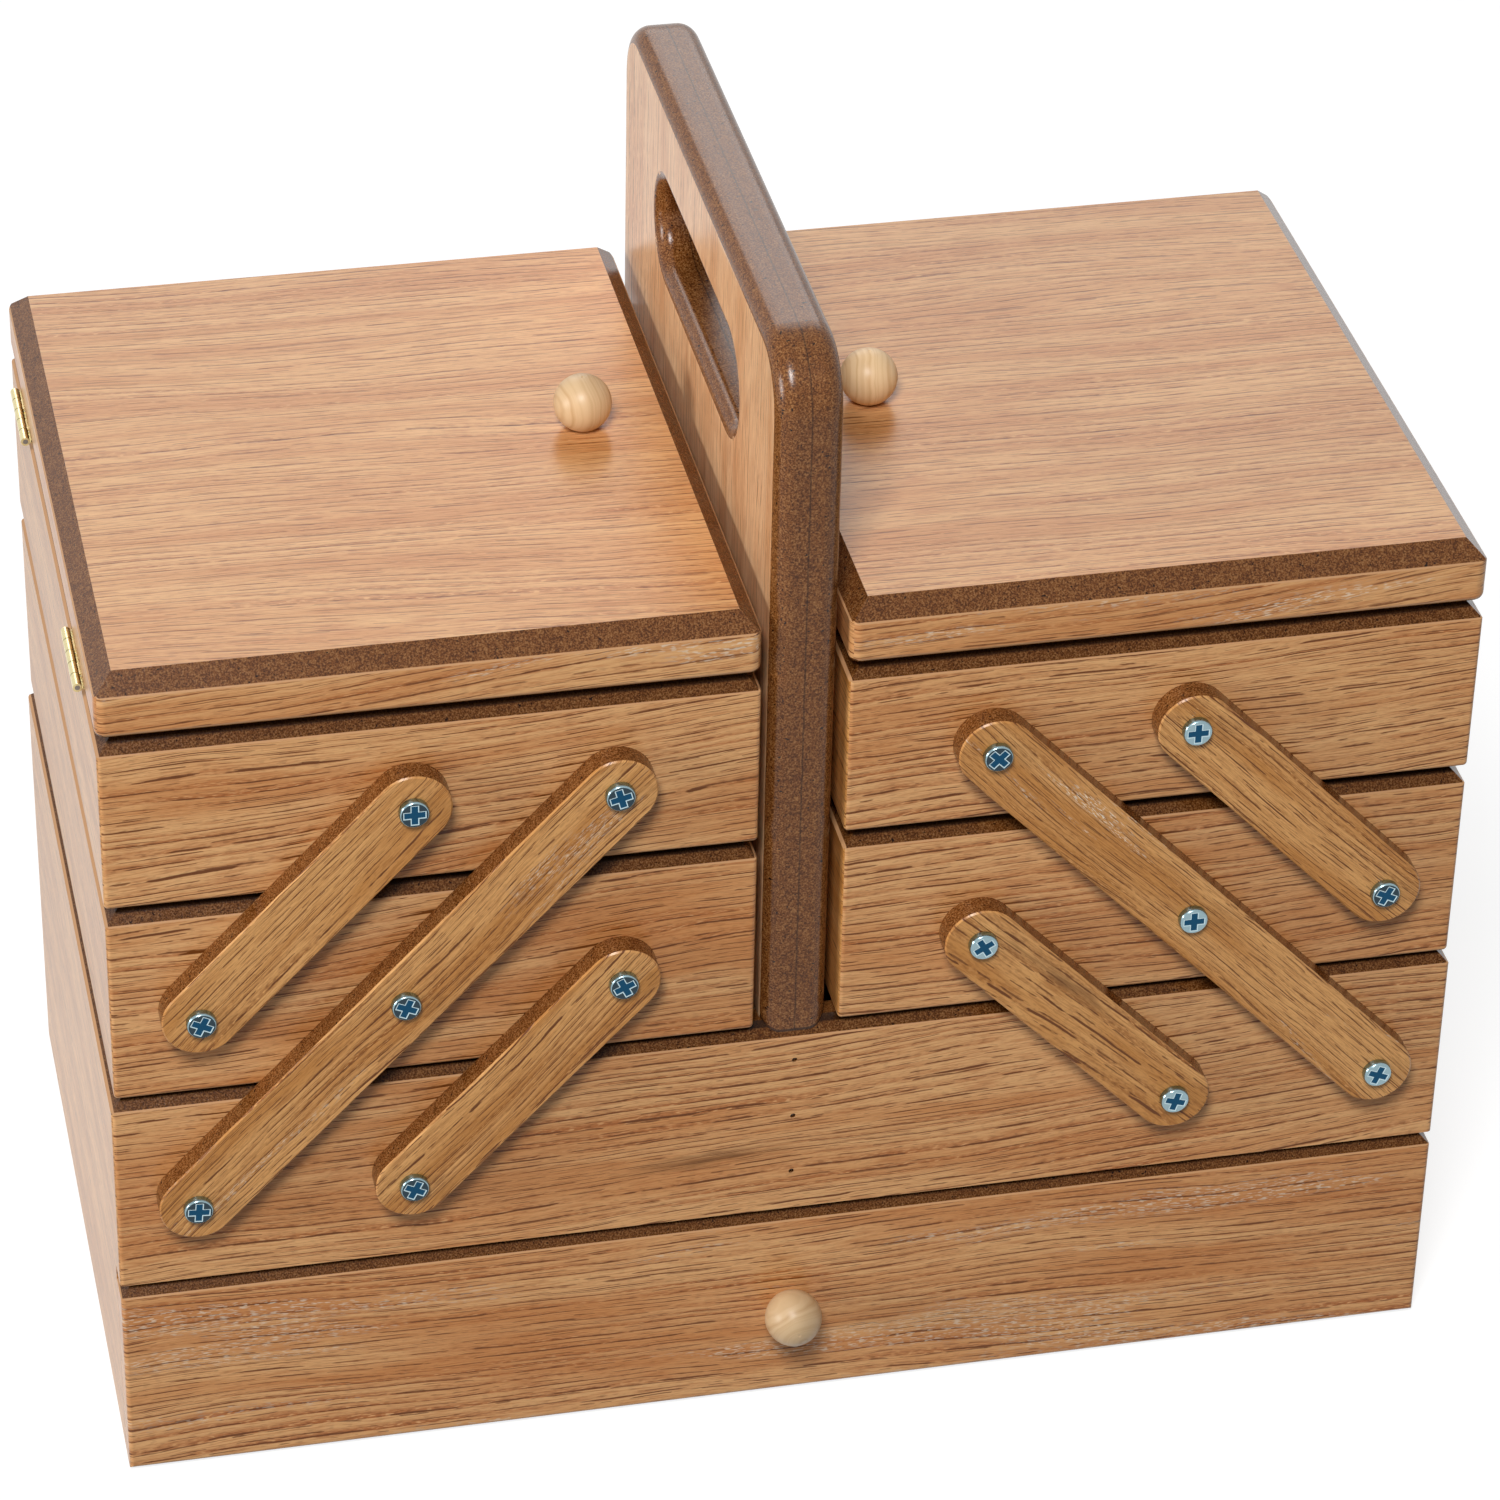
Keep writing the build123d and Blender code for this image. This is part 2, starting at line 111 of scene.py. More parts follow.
# ---- what a user may change
class VeneerSettings(bpy.types.PropertyGroup):
    """Oak veneer of the boards and of the arms."""

    pale: colour("Latewood", "Dense pale wood of the boards", "#deab74")
    palest: colour("Sapwood", "Palest wood, of the carrying board", "#efc699")
    tan: colour("Heartwood", "Middle tone of the boards", "#c98a52")
    brown: colour("Earlywood", "Reddish brown of the boards' porous bands", "#a9602c")
    arm_pale: colour("Arm latewood", "Dense pale wood of the arms", "#dca566")
    arm_tan: colour("Arm heartwood", "Middle tone of the arms", "#c48847")
    arm_brown: colour("Arm earlywood", "Brown of the arms' porous bands", "#955820")
    pore: colour("Pores", "Open pores and the lines that they make", "#6b3a12")
    filler: colour("Filler", "Pale filler left in some of the pores", "#ecdcc4")
    stain: colour("Stain", "Dark mineral streak in the base's front", "#70451c")
    ring: millimetres("Ring width", "Width of one year's growth", 2.7)
    row: millimetres("Row width", "Spacing of the fine rows of pores between the rings", 1.5)
    line_length: millimetres("Line length", "Usual length of a dark line", 18)


class FibreboardSettings(bpy.types.PropertyGroup):
    """Bare fibreboard under lacquer."""

    # the pit colour is also what the painted shade on the rims and the painted shadow at the carrying board's
    # foot darken towards
    pit_and_shade: colour("Pits", "Pits and bark specks", "#1d0e05")
    dark: colour("Dark fibres", "Dark fibres between the pale ones", "#4b280e")
    mid: colour("Board", "Middle tone of the fibreboard", "#75441c")
    light: colour("Light fibres", "Pale cut fibres", "#9c6f42")
    cut: colour("Veneer's cut edge", "Pale line of the veneer round a bare rim", "#bf9065")
    grit: millimetres("Grit", "Size of the fibres' cut ends", 0.45)
    veneer: millimetres("Veneer thickness", "Thickness of the veneer round a bare rim", 0.4)
    # the rim's dark line is a painted shadow, where the box above shades the top of the bevel
    corner: millimetres("Rim line", "How far in from a wall's face the rim's dark line runs", 3.3)


class FittingSettings(bpy.types.PropertyGroup):
    """Knobs, screws, hinges and hidden wood."""

    beech: colour("Beech", "Pale wood of the knobs", "#dcbc92")
    beech_ring: colour("Beech rings", "Darker growth lines of the knobs", "#c39a6a")
    zinc: colour("Zinc", "Blue passivated zinc plate of the screws", "#8fa7ae")
    # painted reflection: the dark plate on some screws' faces stands for dark surroundings mirrored in them
    dark_reflection_zinc: colour("Dull zinc", "The same plate where it has gone grey", "#35434b")
    # painted shade: the dark blue plate inside the recess
    recess_shade_zinc: colour("Deep zinc", "The plate's blue inside the cross recess", "#1c4763")
    # painted highlight: the pale plate on the recess's lip stands for glints on its edges
    lip_highlight_zinc: colour("Worn zinc", "The plate where the driver has polished the recess's lip", "#b9d0d6")
    brass: colour("Brass", "Plated brass of the hinges", "#e6d8a4")
    steel: colour("Steel", "Bare steel of pins and brads", "#8f8b86")
    ply_face: colour("Plywood face", "Face veneer of the plywood floors", "#d0aa7a")
    ply_glue: colour("Plywood streaks", "Darker streaks of the plywood", "#9a6f42")
    knob_radius: millimetres("Knob radius", "Radius of a knob's ball", 7.5)
    screw_radius: millimetres("Screw radius", "Radius of a screw's thread", 2.0)
    screw_height: millimetres("Head height", "Height of a screw's pan head", 2.0)
    screw_round: millimetres("Head rounding", "Width of the round shoulder of a screw's head", 0.6)
    recess_length: millimetres("Recess length", "Tip to tip of the cross recess with its lip", 5.7)
    recess_width: millimetres("Recess width", "Width of a wing of the cross recess with its lip", 2.1)
    # the lip carries the painted highlight of the pale plate
    recess_lip: millimetres("Recess lip", "Width of the polished lip round the recess", 0.24)
    recess_depth: millimetres("Recess depth", "Depth of the cross recess", 1.4)
    screw_sides: IntProperty(
        name="Screw segments", description="Segments round a screw head", default=32, min=12, max=64
    )
    knob_sides: IntProperty(
        name="Knob segments", description="Segments round a knob", default=64, min=16, max=128
    )


class StudioSettings(bpy.types.PropertyGroup):
    """Floor, lamps and camera."""

    floor: colour("Floor", "Pale floor as it lights the carrier", "#979695")
    sky: FloatProperty(name="Surroundings", description="Light from the pale surroundings", default=0.05)
    key: FloatProperty(name="Key lamp", description="Power of the lamp in front", subtype="POWER", default=55)
    side: FloatProperty(
        name="Side lamp", description="Power of the low lamp on the left", subtype="POWER", default=29
    )
    window: FloatProperty(
        name="Window", description="Power of the wide lamp behind", subtype="POWER", default=14
    )
    lens: FloatProperty(name="Lens", description="Focal length on a 36 mm sensor", default=136.23)
    distance: FloatProperty(
        name="Distance", description="Camera to the point it looks at", subtype="DISTANCE", default=1.5163
    )


# ---- shader building
def add_node(tree, kind, inputs=(), **settings):
    """Node of a kind with its settings. Its sockets are fed by values, by other nodes' outputs, or by a node,
    which stands for the first output it has in use."""
    made = tree.nodes.new(kind)
    for key, value in settings.items():
        setattr(made, key, value)
    for socket, value in dict(inputs).items():
        if isinstance(value, bpy.types.Node):
            value = next(output for output in value.outputs if output.enabled)
        if isinstance(value, bpy.types.NodeSocket):
            tree.links.new(value, made.inputs[socket])
        else:
            made.inputs[socket].default_value = value
    return made


def new_material(name):
    """Empty material and its node tree."""
    material = bpy.data.materials.new(name)
    material.use_nodes = True
    material.node_tree.nodes.clear()
    return material, material.node_tree


def surfaced(material, sockets):
    """The material, its surface a Principled shader with sockets fed as by add_node."""
    shader = add_node(material.node_tree, "ShaderNodeBsdfPrincipled", sockets)
    add_node(material.node_tree, "ShaderNodeOutputMaterial", {"Surface": shader})
    return material


def new_group(name, ins, outs):
    """Node group with its sockets, and what it is given, by name."""
    group = bpy.data.node_groups.new(name, "ShaderNodeTree")
    for label, kind in ins:
        group.interface.new_socket(label, in_out="INPUT", socket_type="NodeSocket" + kind)
    for label, kind in outs:
        group.interface.new_socket(label, in_out="OUTPUT", socket_type="NodeSocket" + kind)
    return group, add_node(group, "NodeGroupInput").outputs


def grain_turn(along, across):
    """Turn that lays a pattern's X along the grain and its Y across it."""
    rows = (along.normalized(), across.normalized(), along.normalized().cross(across.normalized()))
    return Matrix(rows).to_euler()


def place_in_mm(tree, along=ALONG_X, across=ALONG_Y, shift=(0, 0, 0), fineness=1.0):
    """Object coordinates in millimetres, turned to the grain and shifted to another stretch of it."""
    coordinates = add_node(tree, "ShaderNodeTexCoord")
    return add_node(
        tree,
        "ShaderNodeMapping",
        {
            "Vector": coordinates.outputs["Object"],
            "Rotation": grain_turn(along, across),
            "Scale": (fineness / MM,) * 3,
            "Location": shift,
        },
    )


def stretched_noise(tree, place, size, detail, dimensions="3D"):
    """Noise from a place in mm, whose grains have a size in mm, or have no bounds where the size is 0."""
    scale = [1 / length if length else 0.0 for length in size]
    scaled = add_node(tree, "ShaderNodeVectorMath", {0: place, 1: scale}, operation="MULTIPLY")
    sockets = {"Vector": scaled, "Scale": 1.0, "Detail": detail}
    return add_node(tree, "ShaderNodeTexNoise", sockets, noise_dimensions=dimensions)


def oak_grain():
    """Growth rings, pore lines and colour of oak, from a place in mm: X along, Y across, Z into the board."""
    if "Oak grain" in bpy.data.node_groups:
        return bpy.data.node_groups["Oak grain"]
    oak = bpy.context.scene.carrier_veneer
    levels = ("Heart", "Depth", "Taper", "Figure", "Lines", "Filler", "Streaks", "Tone")
    sockets = [("Place", "Vector"), *((label, "Float") for label in levels)]
    sockets += [(label, "Color") for label in ("Pale", "Tan", "Brown")]
    tree, given = new_group("Oak grain", sockets, (("Color", "Color"), ("Relief", "Float")))
    place = given["Place"]
    split = add_node(tree, "ShaderNodeSeparateXYZ", {"Vector": place})
    u, v, w = split.outputs

    # slow and quick wander of the grain across the board, each with its size, detail and reach, in mm
    wander = v
    for size, detail, reach in (((150, 45, 60), 1.0, 14.0), ((26, 6, 20), 2.0, 1.5)):
        noise = stretched_noise(tree, place, size, detail)
        wander = add_node(tree, "ShaderNodeMath", {0: noise, 1: reach, 2: wander}, operation="MULTIPLY_ADD")

    # distance from the heart of the trunk, whose rings the board cuts across
    off = add_node(tree, "ShaderNodeMath", {0: wander, 1: given["Heart"]}, operation="SUBTRACT")
    off_square = add_node(tree, "ShaderNodeMath", {0: off, 1: off}, operation="MULTIPLY")
    deep = add_node(
        tree, "ShaderNodeMath", {0: u, 1: given["Taper"], 2: given["Depth"]}, operation="MULTIPLY_ADD"
    )
    square = add_node(tree, "ShaderNodeMath", {0: deep, 1: deep, 2: off_square}, operation="MULTIPLY_ADD")
    radius = add_node(tree, "ShaderNodeMath", {0: square}, operation="SQRT")
    uneven = add_node(
        tree, "ShaderNodeTexNoise", {"W": radius, "Scale": 1 / 12, "Detail": 1.0}, noise_dimensions="1D"
    )
    growth = add_node(tree, "ShaderNodeMath", {0: uneven, 1: 5.0, 2: radius}, operation="MULTIPLY_ADD")
    spread = add_node(tree, "ShaderNodeCombineXYZ", {"X": u, "Y": growth, "Z": w})

    # each year starts with a porous band, which fades into dense wood
    year = add_node(tree, "ShaderNodeMath", {0: growth, 1: oak.ring}, operation="DIVIDE")
    season = add_node(tree, "ShaderNodeMath", {0: year}, operation="FRACT")
    early = add_node(
        tree, "ShaderNodeMapRange",
        {"Value": season, "From Min": 0.05, "From Max": 0.75, "To Min": 1.0, "To Max": 0.0},
        interpolation_type="SMOOTHSTEP",
    )

    # broad tones, short pores and fine fibres, each with its size in mm
    broad = stretched_noise(tree, spread, (110, 9, 60), 3.0)
    broad = add_node(tree, "ShaderNodeSeparateColor", {"Color": broad.outputs["Color"]})
    fleck = stretched_noise(tree, spread, (2.6, 0.32, 3), 1.0, "2D")
    fibre = stretched_noise(tree, spread, (11, 0.32, 20), 2.0, "2D")

    # shares that the patterns give: where each starts and ends, and its levels there
    shares = {}
    for label, source, start, end, low, high in (
        ("tone", broad.outputs["Red"], 0.40, 0.62, 0.0, 1.0),
        ("patch", broad.outputs["Green"], 0.42, 0.62, 0.15, 1.0),
        ("filled", broad.outputs["Blue"], 0.57, 0.63, 0.0, 1.0),
        ("dark", fleck, 0.55, 0.66, 0.0, 0.9),
        ("light", fleck, 0.42, 0.30, 0.0, 0.9),
        ("fill", fleck, 0.56, 0.66, 0.0, 1.0),
        ("fibre", fibre, 0.44, 0.68, 0.0, 0.5),
    ):
        shares[label] = add_node(
            tree, "ShaderNodeMapRange",
            {"Value": source, "From Min": start, "From Max": end, "To Min": low, "To Max": high},
        )

    # dark lines: long ones where each year starts, finer ones between them
    dark_lines = []
    for width, length, seed, keep, full, thick, edge in (
        (oak.ring, oak.line_length, 0.42, 0.45, 0.55, 0.08, 0.03),
        (oak.row, oak.line_length * 0.6, 31.0, 0.48, 0.56, 0.11, 0.04),
    ):
        rows = add_node(tree, "ShaderNodeMath", {0: growth, 1: 1 / width, 2: seed}, operation="MULTIPLY_ADD")
        across = add_node(tree, "ShaderNodeMath", {0: rows}, operation="FRACT")
        away = add_node(tree, "ShaderNodeMath", {0: across, 1: 0.5}, operation="SUBTRACT")
        distance = add_node(tree, "ShaderNodeMath", {0: away}, operation="ABSOLUTE")
        row_place = add_node(tree, "ShaderNodeCombineXYZ", {"X": u, "Y": rows})
        breaks = stretched_noise(tree, row_place, (length, 1 / 1.7, 0), 2.0, "2D")
        half = add_node(
            tree, "ShaderNodeMapRange", {"Value": breaks, "From Min": keep, "From Max": full, "To Max": thick}
        )
        inside = add_node(tree, "ShaderNodeMath", {0: half, 1: distance}, operation="SUBTRACT")
        line = add_node(tree, "ShaderNodeMapRange", {"Value": inside, "From Max": edge})
        dark_lines.append(line)
    lines = add_node(
        tree, "ShaderNodeMath", {0: dark_lines[1], 1: 0.8, 2: dark_lines[0]}, operation="MULTIPLY_ADD"
    )

    # short pores, in the porous bands most of all
    porous = add_node(tree, "ShaderNodeMath", {0: early, 1: shares["patch"]}, operation="MULTIPLY")
    fleck_level = add_node(tree, "ShaderNodeMath", {0: porous, 1: 0.7, 2: 0.3}, operation="MULTIPLY_ADD")
    flecks = add_node(tree, "ShaderNodeMath", {0: shares["dark"], 1: fleck_level}, operation="MULTIPLY")
    glints = add_node(tree, "ShaderNodeMath", {0: shares["light"], 1: porous}, operation="MULTIPLY")
    pores = add_node(tree, "ShaderNodeMath", {0: flecks, 1: 0.6, 2: lines}, operation="MULTIPLY_ADD")
    pore_share = add_node(
        tree, "ShaderNodeMath", {0: pores, 1: given["Lines"]}, operation="MULTIPLY", use_clamp=True
    )

    # colour, one tint over another
    middling = add_node(tree, "ShaderNodeMath", {0: shares["tone"], 1: 0.45}, operation="SUBTRACT")
    heartwood = add_node(
        tree, "ShaderNodeMath", {0: middling, 1: given["Streaks"], 2: given["Tone"]},
        operation="MULTIPLY_ADD", use_clamp=True,
    )
    figure = add_node(tree, "ShaderNodeMath", {0: porous, 1: given["Figure"]}, operation="MULTIPLY")
    fill = add_node(tree, "ShaderNodeMath", {0: shares["filled"], 1: given["Filler"]}, operation="MULTIPLY")
    fill = add_node(tree, "ShaderNodeMath", {0: fill, 1: shares["fill"]}, operation="MULTIPLY")
    tint = given["Pale"]
    for share, over in (
        (heartwood, given["Tan"]),
        (figure, given["Brown"]),
        (shares["fibre"], given["Brown"]),
        (glints, given["Pale"]),
        (pore_share, oak.pore),
        (fill, oak.filler),
    ):
        tint = add_node(tree, "ShaderNodeMix", {"Factor": share, "A": tint, "B": over}, data_type="RGBA")
    relief = add_node(tree, "ShaderNodeMath", {0: 1.0, 1: pore_share}, operation="SUBTRACT")
    add_node(tree, "NodeGroupOutput", {"Color": tint, "Relief": relief})
    return tree


def lacquered_oak(
    name, along, across, shift, heart=-200.0, depth=40.0, taper=0.0, figure=0.6, lines=0.8, filler=0.0,
    streaks=1.0, tone=0.45, lean=0.0, fineness=1.0, arm=False, pale=None,
):
    """Red oak veneer, sliced, sanded and sprayed with semi-gloss lacquer: warm tan with dark pore lines, and
    a soft sheen that turns to a pale mirror when seen along the board. Heart and depth are the trunk's heart
    in mm across and into the board, taper is how the depth grows along it, and lean turns the grain in the
    face, in degrees. Figure, lines, filler and streaks are how strongly each shows, and tone is how far the
    wood goes from pale to tan."""
    oak = bpy.context.scene.carrier_veneer
    material, tree = new_material(f"Oak veneer, {name}")
    turn = Matrix.Rotation(math.radians(lean), 3, along.cross(across))
    given = {
        "Place": place_in_mm(tree, turn @ along, turn @ across, shift, fineness),
        "Heart": heart, "Depth": depth, "Taper": taper, "Figure": figure, "Lines": lines, "Filler": filler,
        "Streaks": streaks, "Tone": tone,
        "Pale": pale or (oak.arm_pale if arm else oak.pale),
        "Tan": oak.arm_tan if arm else oak.tan,
        "Brown": oak.arm_brown if arm else oak.brown,
    }
    grain = add_node(tree, "ShaderNodeGroup", given, node_tree=oak_grain())
    height = grain.outputs["Relief"]
    relief = add_node(tree, "ShaderNodeBump", {"Height": height, "Strength": 0.25, "Distance": 0.08 * MM})
    return surfaced(material, {"Base Color": grain, "Normal": relief, "Roughness": 0.28, "IOR": 1.33})


def mineral_streak(material, middle, reach, lean):
    """Dark stain in an upright face, round a middle at x and z, out to a reach along it and across it, in mm,
    and leaning from level by an angle in degrees."""
    oak = bpy.context.scene.carrier_veneer
    tree = material.node_tree
    shader = next(node for node in tree.nodes if node.type == "BSDF_PRINCIPLED")
    wood = shader.inputs["Base Color"].links[0].from_socket
    turn = Matrix.Rotation(math.radians(lean), 3, ALONG_X.cross(ALONG_Z))
    along, rise, spot = turn @ ALONG_X, turn @ ALONG_Z, Vector((middle[0], 0, middle[1]))
    place = place_in_mm(tree, along, rise)
    turned_spot = (along.dot(spot), rise.dot(spot), 0)
    off = add_node(tree, "ShaderNodeVectorMath", {0: place, 1: turned_spot}, operation="SUBTRACT")
    scale = (1 / reach[0], 1 / reach[1], 0)
    off = add_node(tree, "ShaderNodeVectorMath", {0: off, 1: scale}, operation="MULTIPLY")
    away = add_node(tree, "ShaderNodeVectorMath", {0: off}, operation="LENGTH")
    smear = stretched_noise(tree, place, (9, 1.1, 0), 3.0)
    level = add_node(tree, "ShaderNodeMath", {0: smear, 1: 1.8, 2: away}, operation="MULTIPLY_ADD")
    share = add_node(
        tree, "ShaderNodeMapRange",
        {"Value": level, "From Min": 0.9, "From Max": 1.9, "To Min": 0.75, "To Max": 0.0},
    )
    stained = add_node(tree, "ShaderNodeMix", {"Factor": share, "A": wood, "B": oak.stain}, data_type="RGBA")
    tree.links.new(stained.outputs["Result"], shader.inputs["Base Color"])


def fibreboard_speckle():
    """Cut fibres and pits of fibreboard, from a place in mm."""
    if "Fibreboard speckle" in bpy.data.node_groups:
        return bpy.data.node_groups["Fibreboard speckle"]
    board = bpy.context.scene.carrier_fibreboard
    tree, given = new_group(
        "Fibreboard speckle", (("Place", "Vector"),), (("Color", "Color"), ("Relief", "Float"))
    )
    place = given["Place"]
    fibres = add_node(
        tree, "ShaderNodeTexNoise",
        {"Vector": place, "Scale": 1 / board.grit, "Detail": 2.0, "Roughness": 0.65},
    )
    clumps = add_node(tree, "ShaderNodeTexNoise", {"Vector": place, "Scale": 1 / 2.6, "Detail": 2.0})
    bark = add_node(tree, "ShaderNodeTexNoise", {"Vector": place, "Scale": 1 / 1.1, "Detail": 1.0})
    grit = add_node(tree, "ShaderNodeMath", {0: clumps, 1: 0.16, 2: fibres}, operation="MULTIPLY_ADD")
    tint = board.dark
    for over, source, start, end in (
        (board.mid, grit, 0.46, 0.58),
        (board.light, grit, 0.59, 0.78),
        (board.pit_and_shade, bark, 0.30, 0.26),
    ):
        share = add_node(tree, "ShaderNodeMapRange", {"Value": source, "From Min": start, "From Max": end})
        tint = add_node(tree, "ShaderNodeMix", {"Factor": share, "A": tint, "B": over}, data_type="RGBA")
    add_node(tree, "NodeGroupOutput", {"Color": tint, "Relief": grit})
    return tree


def outline(node):
    """Nearest and furthest face across and furthest face deep of a CAD node, in mm from the middle."""
    corners = [Vector(corner) / MM for corner in frame["nodes"][node].bound_box]
    across = sorted(corner.x for corner in corners)
    near = min(abs(across[0]), abs(across[-1])) if across[0] * across[-1] > 0 else NO_END
    return near, max(abs(x) for x in across), max(abs(corner.y) for corner in corners)


def glue_seam_and_foot_shade(tree, place, tint, foot_line):
    """Tint of two boards glued face to face: darker along the glued seam, and darker along a line at the
    boards' foot, a painted shadow where they meet the bevel of the base's rim: where height plus distance
    from the middle is foot_line mm."""
    pit_and_shade = bpy.context.scene.carrier_fibreboard.pit_and_shade
    split = add_node(tree, "ShaderNodeSeparateXYZ", {"Vector": place})
    wander = add_node(tree, "ShaderNodeTexNoise", {"Vector": place, "Scale": 1 / 5.0, "Detail": 3.0})
    off = add_node(
        tree, "ShaderNodeMath", {0: wander, 1: 0.5, 2: split.outputs["X"]}, operation="MULTIPLY_ADD"
    )
    away = add_node(tree, "ShaderNodeMath", {0: off, 1: 0.25}, operation="SUBTRACT")
    away = add_node(tree, "ShaderNodeMath", {0: away}, operation="ABSOLUTE")
    glue = add_node(
        tree, "ShaderNodeMapRange",
        {"Value": away, "From Min": 0.10, "From Max": 0.30, "To Min": 0.6, "To Max": 0.0},
    )
    reach = add_node(tree, "ShaderNodeMath", {0: split.outputs["Y"]}, operation="ABSOLUTE")
    above = add_node(tree, "ShaderNodeMath", {0: reach, 1: split.outputs["Z"]}, operation="ADD")
    # painted shadow: a dark line along the boards' foot, where they meet the rim's bevel
    low, high = foot_line + 0.5, foot_line + 1.1
    foot = add_node(
        tree, "ShaderNodeMapRange",
        {"Value": above, "From Min": low, "From Max": high, "To Min": 0.8, "To Max": 0.0},
    )
    glue_and_foot_shade = add_node(tree, "ShaderNodeMath", {0: glue, 1: foot}, operation="MAXIMUM")
    return add_node(tree, "ShaderNodeMix", {"Factor": glue_and_foot_shade, "A": tint, "B": pit_and_shade}, data_type="RGBA")


def veneered_rim(tree, place, tint, walls, painted_rim_shade, deep):
    """Tint of a rim between veneered walls, given as by outline: darkened all over by a painted shade, more
    so by a painted shadow along a line where its bevel meets its flat top, which the box above shades, and
    pale along the veneer's cut edge."""
    board = bpy.context.scene.carrier_fibreboard
    near, far, face = walls
    split = add_node(tree, "ShaderNodeSeparateXYZ", {"Vector": place})
    across = add_node(tree, "ShaderNodeMath", {0: split.outputs["X"]}, operation="ABSOLUTE")
    reach = add_node(tree, "ShaderNodeMath", {0: split.outputs["Y"]}, operation="ABSOLUTE")
    outside = add_node(tree, "ShaderNodeMath", {0: across, 1: far - face}, operation="SUBTRACT")
    ends = add_node(tree, "ShaderNodeMath", {0: outside, 1: reach}, operation="MAXIMUM")
    near_end = add_node(tree, "ShaderNodeMath", {0: near + face, 1: across}, operation="SUBTRACT")
    edge = add_node(tree, "ShaderNodeMath", {0: ends, 1: near_end}, operation="MAXIMUM")
    cut = add_node(
        tree, "ShaderNodeMapRange",
        {"Value": edge, "From Min": face - board.veneer - 0.05, "From Max": face - board.veneer + 0.05},
    )
    # painted shadow: a dark line near the top of the bevel, where the box above shades it, and an even
    # painted shade over the rest of the rim
    off = add_node(tree, "ShaderNodeMath", {0: edge, 1: face - board.corner}, operation="SUBTRACT")
    off = add_node(tree, "ShaderNodeMath", {0: off}, operation="ABSOLUTE")
    painted_shading = add_node(
        tree, "ShaderNodeMapRange",
        {"Value": off, "From Min": 0.6, "From Max": 1.0, "To Min": deep, "To Max": painted_rim_shade},
    )
    for share, over in ((painted_shading, board.pit_and_shade), (cut, board.cut)):
        tint = add_node(tree, "ShaderNodeMix", {"Factor": share, "A": tint, "B": over}, data_type="RGBA")
    return tint


def lacquered_fibreboard(name, foot_line=None, walls=None, painted_rim_shade=0.36, deep=0.88, bend=1.19):
    """Medium-density fibreboard, routed bare and sprayed with the same lacquer: speckled brown under a gloss.
    With foot_line it is the carrying board's, see glue_seam_and_foot_shade, and with walls a box's rim, see veneered_rim.
    Bend is the refractive index of the lacquer on a rim."""
    material, tree = new_material(name)
    place = place_in_mm(tree)
    speckle = add_node(tree, "ShaderNodeGroup", {"Place": place}, node_tree=fibreboard_speckle())
    tint = speckle.outputs["Color"]
    if foot_line is not None:
        tint = glue_seam_and_foot_shade(tree, place, tint, foot_line)
    # a box's rim gets a painted shade and a painted shadow line, see veneered_rim
    if walls is not None:
        tint = veneered_rim(tree, place, tint, walls, painted_rim_shade, deep)
    height = speckle.outputs["Relief"]
    relief = add_node(tree, "ShaderNodeBump", {"Height": height, "Strength": 0.3, "Distance": 0.1 * MM})
    roughness, bend = (0.23, 1.36) if walls is None else (0.17, bend)
    return surfaced(material, {"Base Color": tint, "Normal": relief, "Roughness": roughness, "IOR": bend})


def bare_plywood():
    """Three-ply poplar, sanded and left bare: pale and matt, with soft long streaks. It is made once."""
    if "Bare plywood" in bpy.data.materials:
        return bpy.data.materials["Bare plywood"]
    fitting = bpy.context.scene.carrier_fitting
    material, tree = new_material("Bare plywood")
    streaks = stretched_noise(tree, place_in_mm(tree, shift=(70, 0, 0)), (60, 5, 1.2), 4.0)
    share = add_node(
        tree, "ShaderNodeMapRange", {"Value": streaks, "From Min": 0.42, "From Max": 0.85, "To Max": 0.6}
    )
    pair = {"Factor": share, "A": fitting.ply_face, "B": fitting.ply_glue}
    tint = add_node(tree, "ShaderNodeMix", pair, data_type="RGBA")
    return surfaced(material, {"Base Color": tint, "Roughness": 0.6})


def turned_beech(name, along, pith, painted_shading):
    """Beech, turned with the grain along the knob and dipped in clear lacquer: pale, with faint rings and a
    gloss. Pith is the rings' middle in mm, across the grain, and the shading level scales the colour as
    painted light and shade, one level for each knob."""
    fitting = bpy.context.scene.carrier_fitting
    material, tree = new_material(name)
    place = place_in_mm(tree, along, ALONG_X)
    wander = add_node(tree, "ShaderNodeTexNoise", {"Vector": place, "Scale": 1 / 9.0, "Detail": 2.0})
    split = add_node(tree, "ShaderNodeSeparateXYZ", {"Vector": place})
    y, z = split.outputs["Y"], split.outputs["Z"]
    flat = add_node(tree, "ShaderNodeCombineXYZ", {"X": y, "Y": z})
    away = add_node(tree, "ShaderNodeVectorMath", {0: flat, 1: pith}, operation="DISTANCE")
    rings = add_node(tree, "ShaderNodeMath", {0: wander, 1: 2.0, 2: away}, operation="MULTIPLY_ADD")
    tone = add_node(
        tree, "ShaderNodeTexNoise", {"W": rings, "Scale": 1 / 1.3, "Detail": 2.0}, noise_dimensions="1D"
    )
    share = add_node(
        tree, "ShaderNodeMapRange", {"Value": tone, "From Min": 0.45, "From Max": 0.80, "To Max": 0.75}
    )
    pair = {"Factor": share, "A": fitting.beech, "B": fitting.beech_ring}
    tint = add_node(tree, "ShaderNodeMix", pair, data_type="RGBA")
    # painted light and shade: the colour scaled by a level for each knob
    shaded = add_node(tree, "ShaderNodeVectorMath", {0: tint, "Scale": painted_shading}, operation="SCALE")
    return surfaced(material, {"Base Color": shaded, "Roughness": 0.4, "IOR": 1.42})


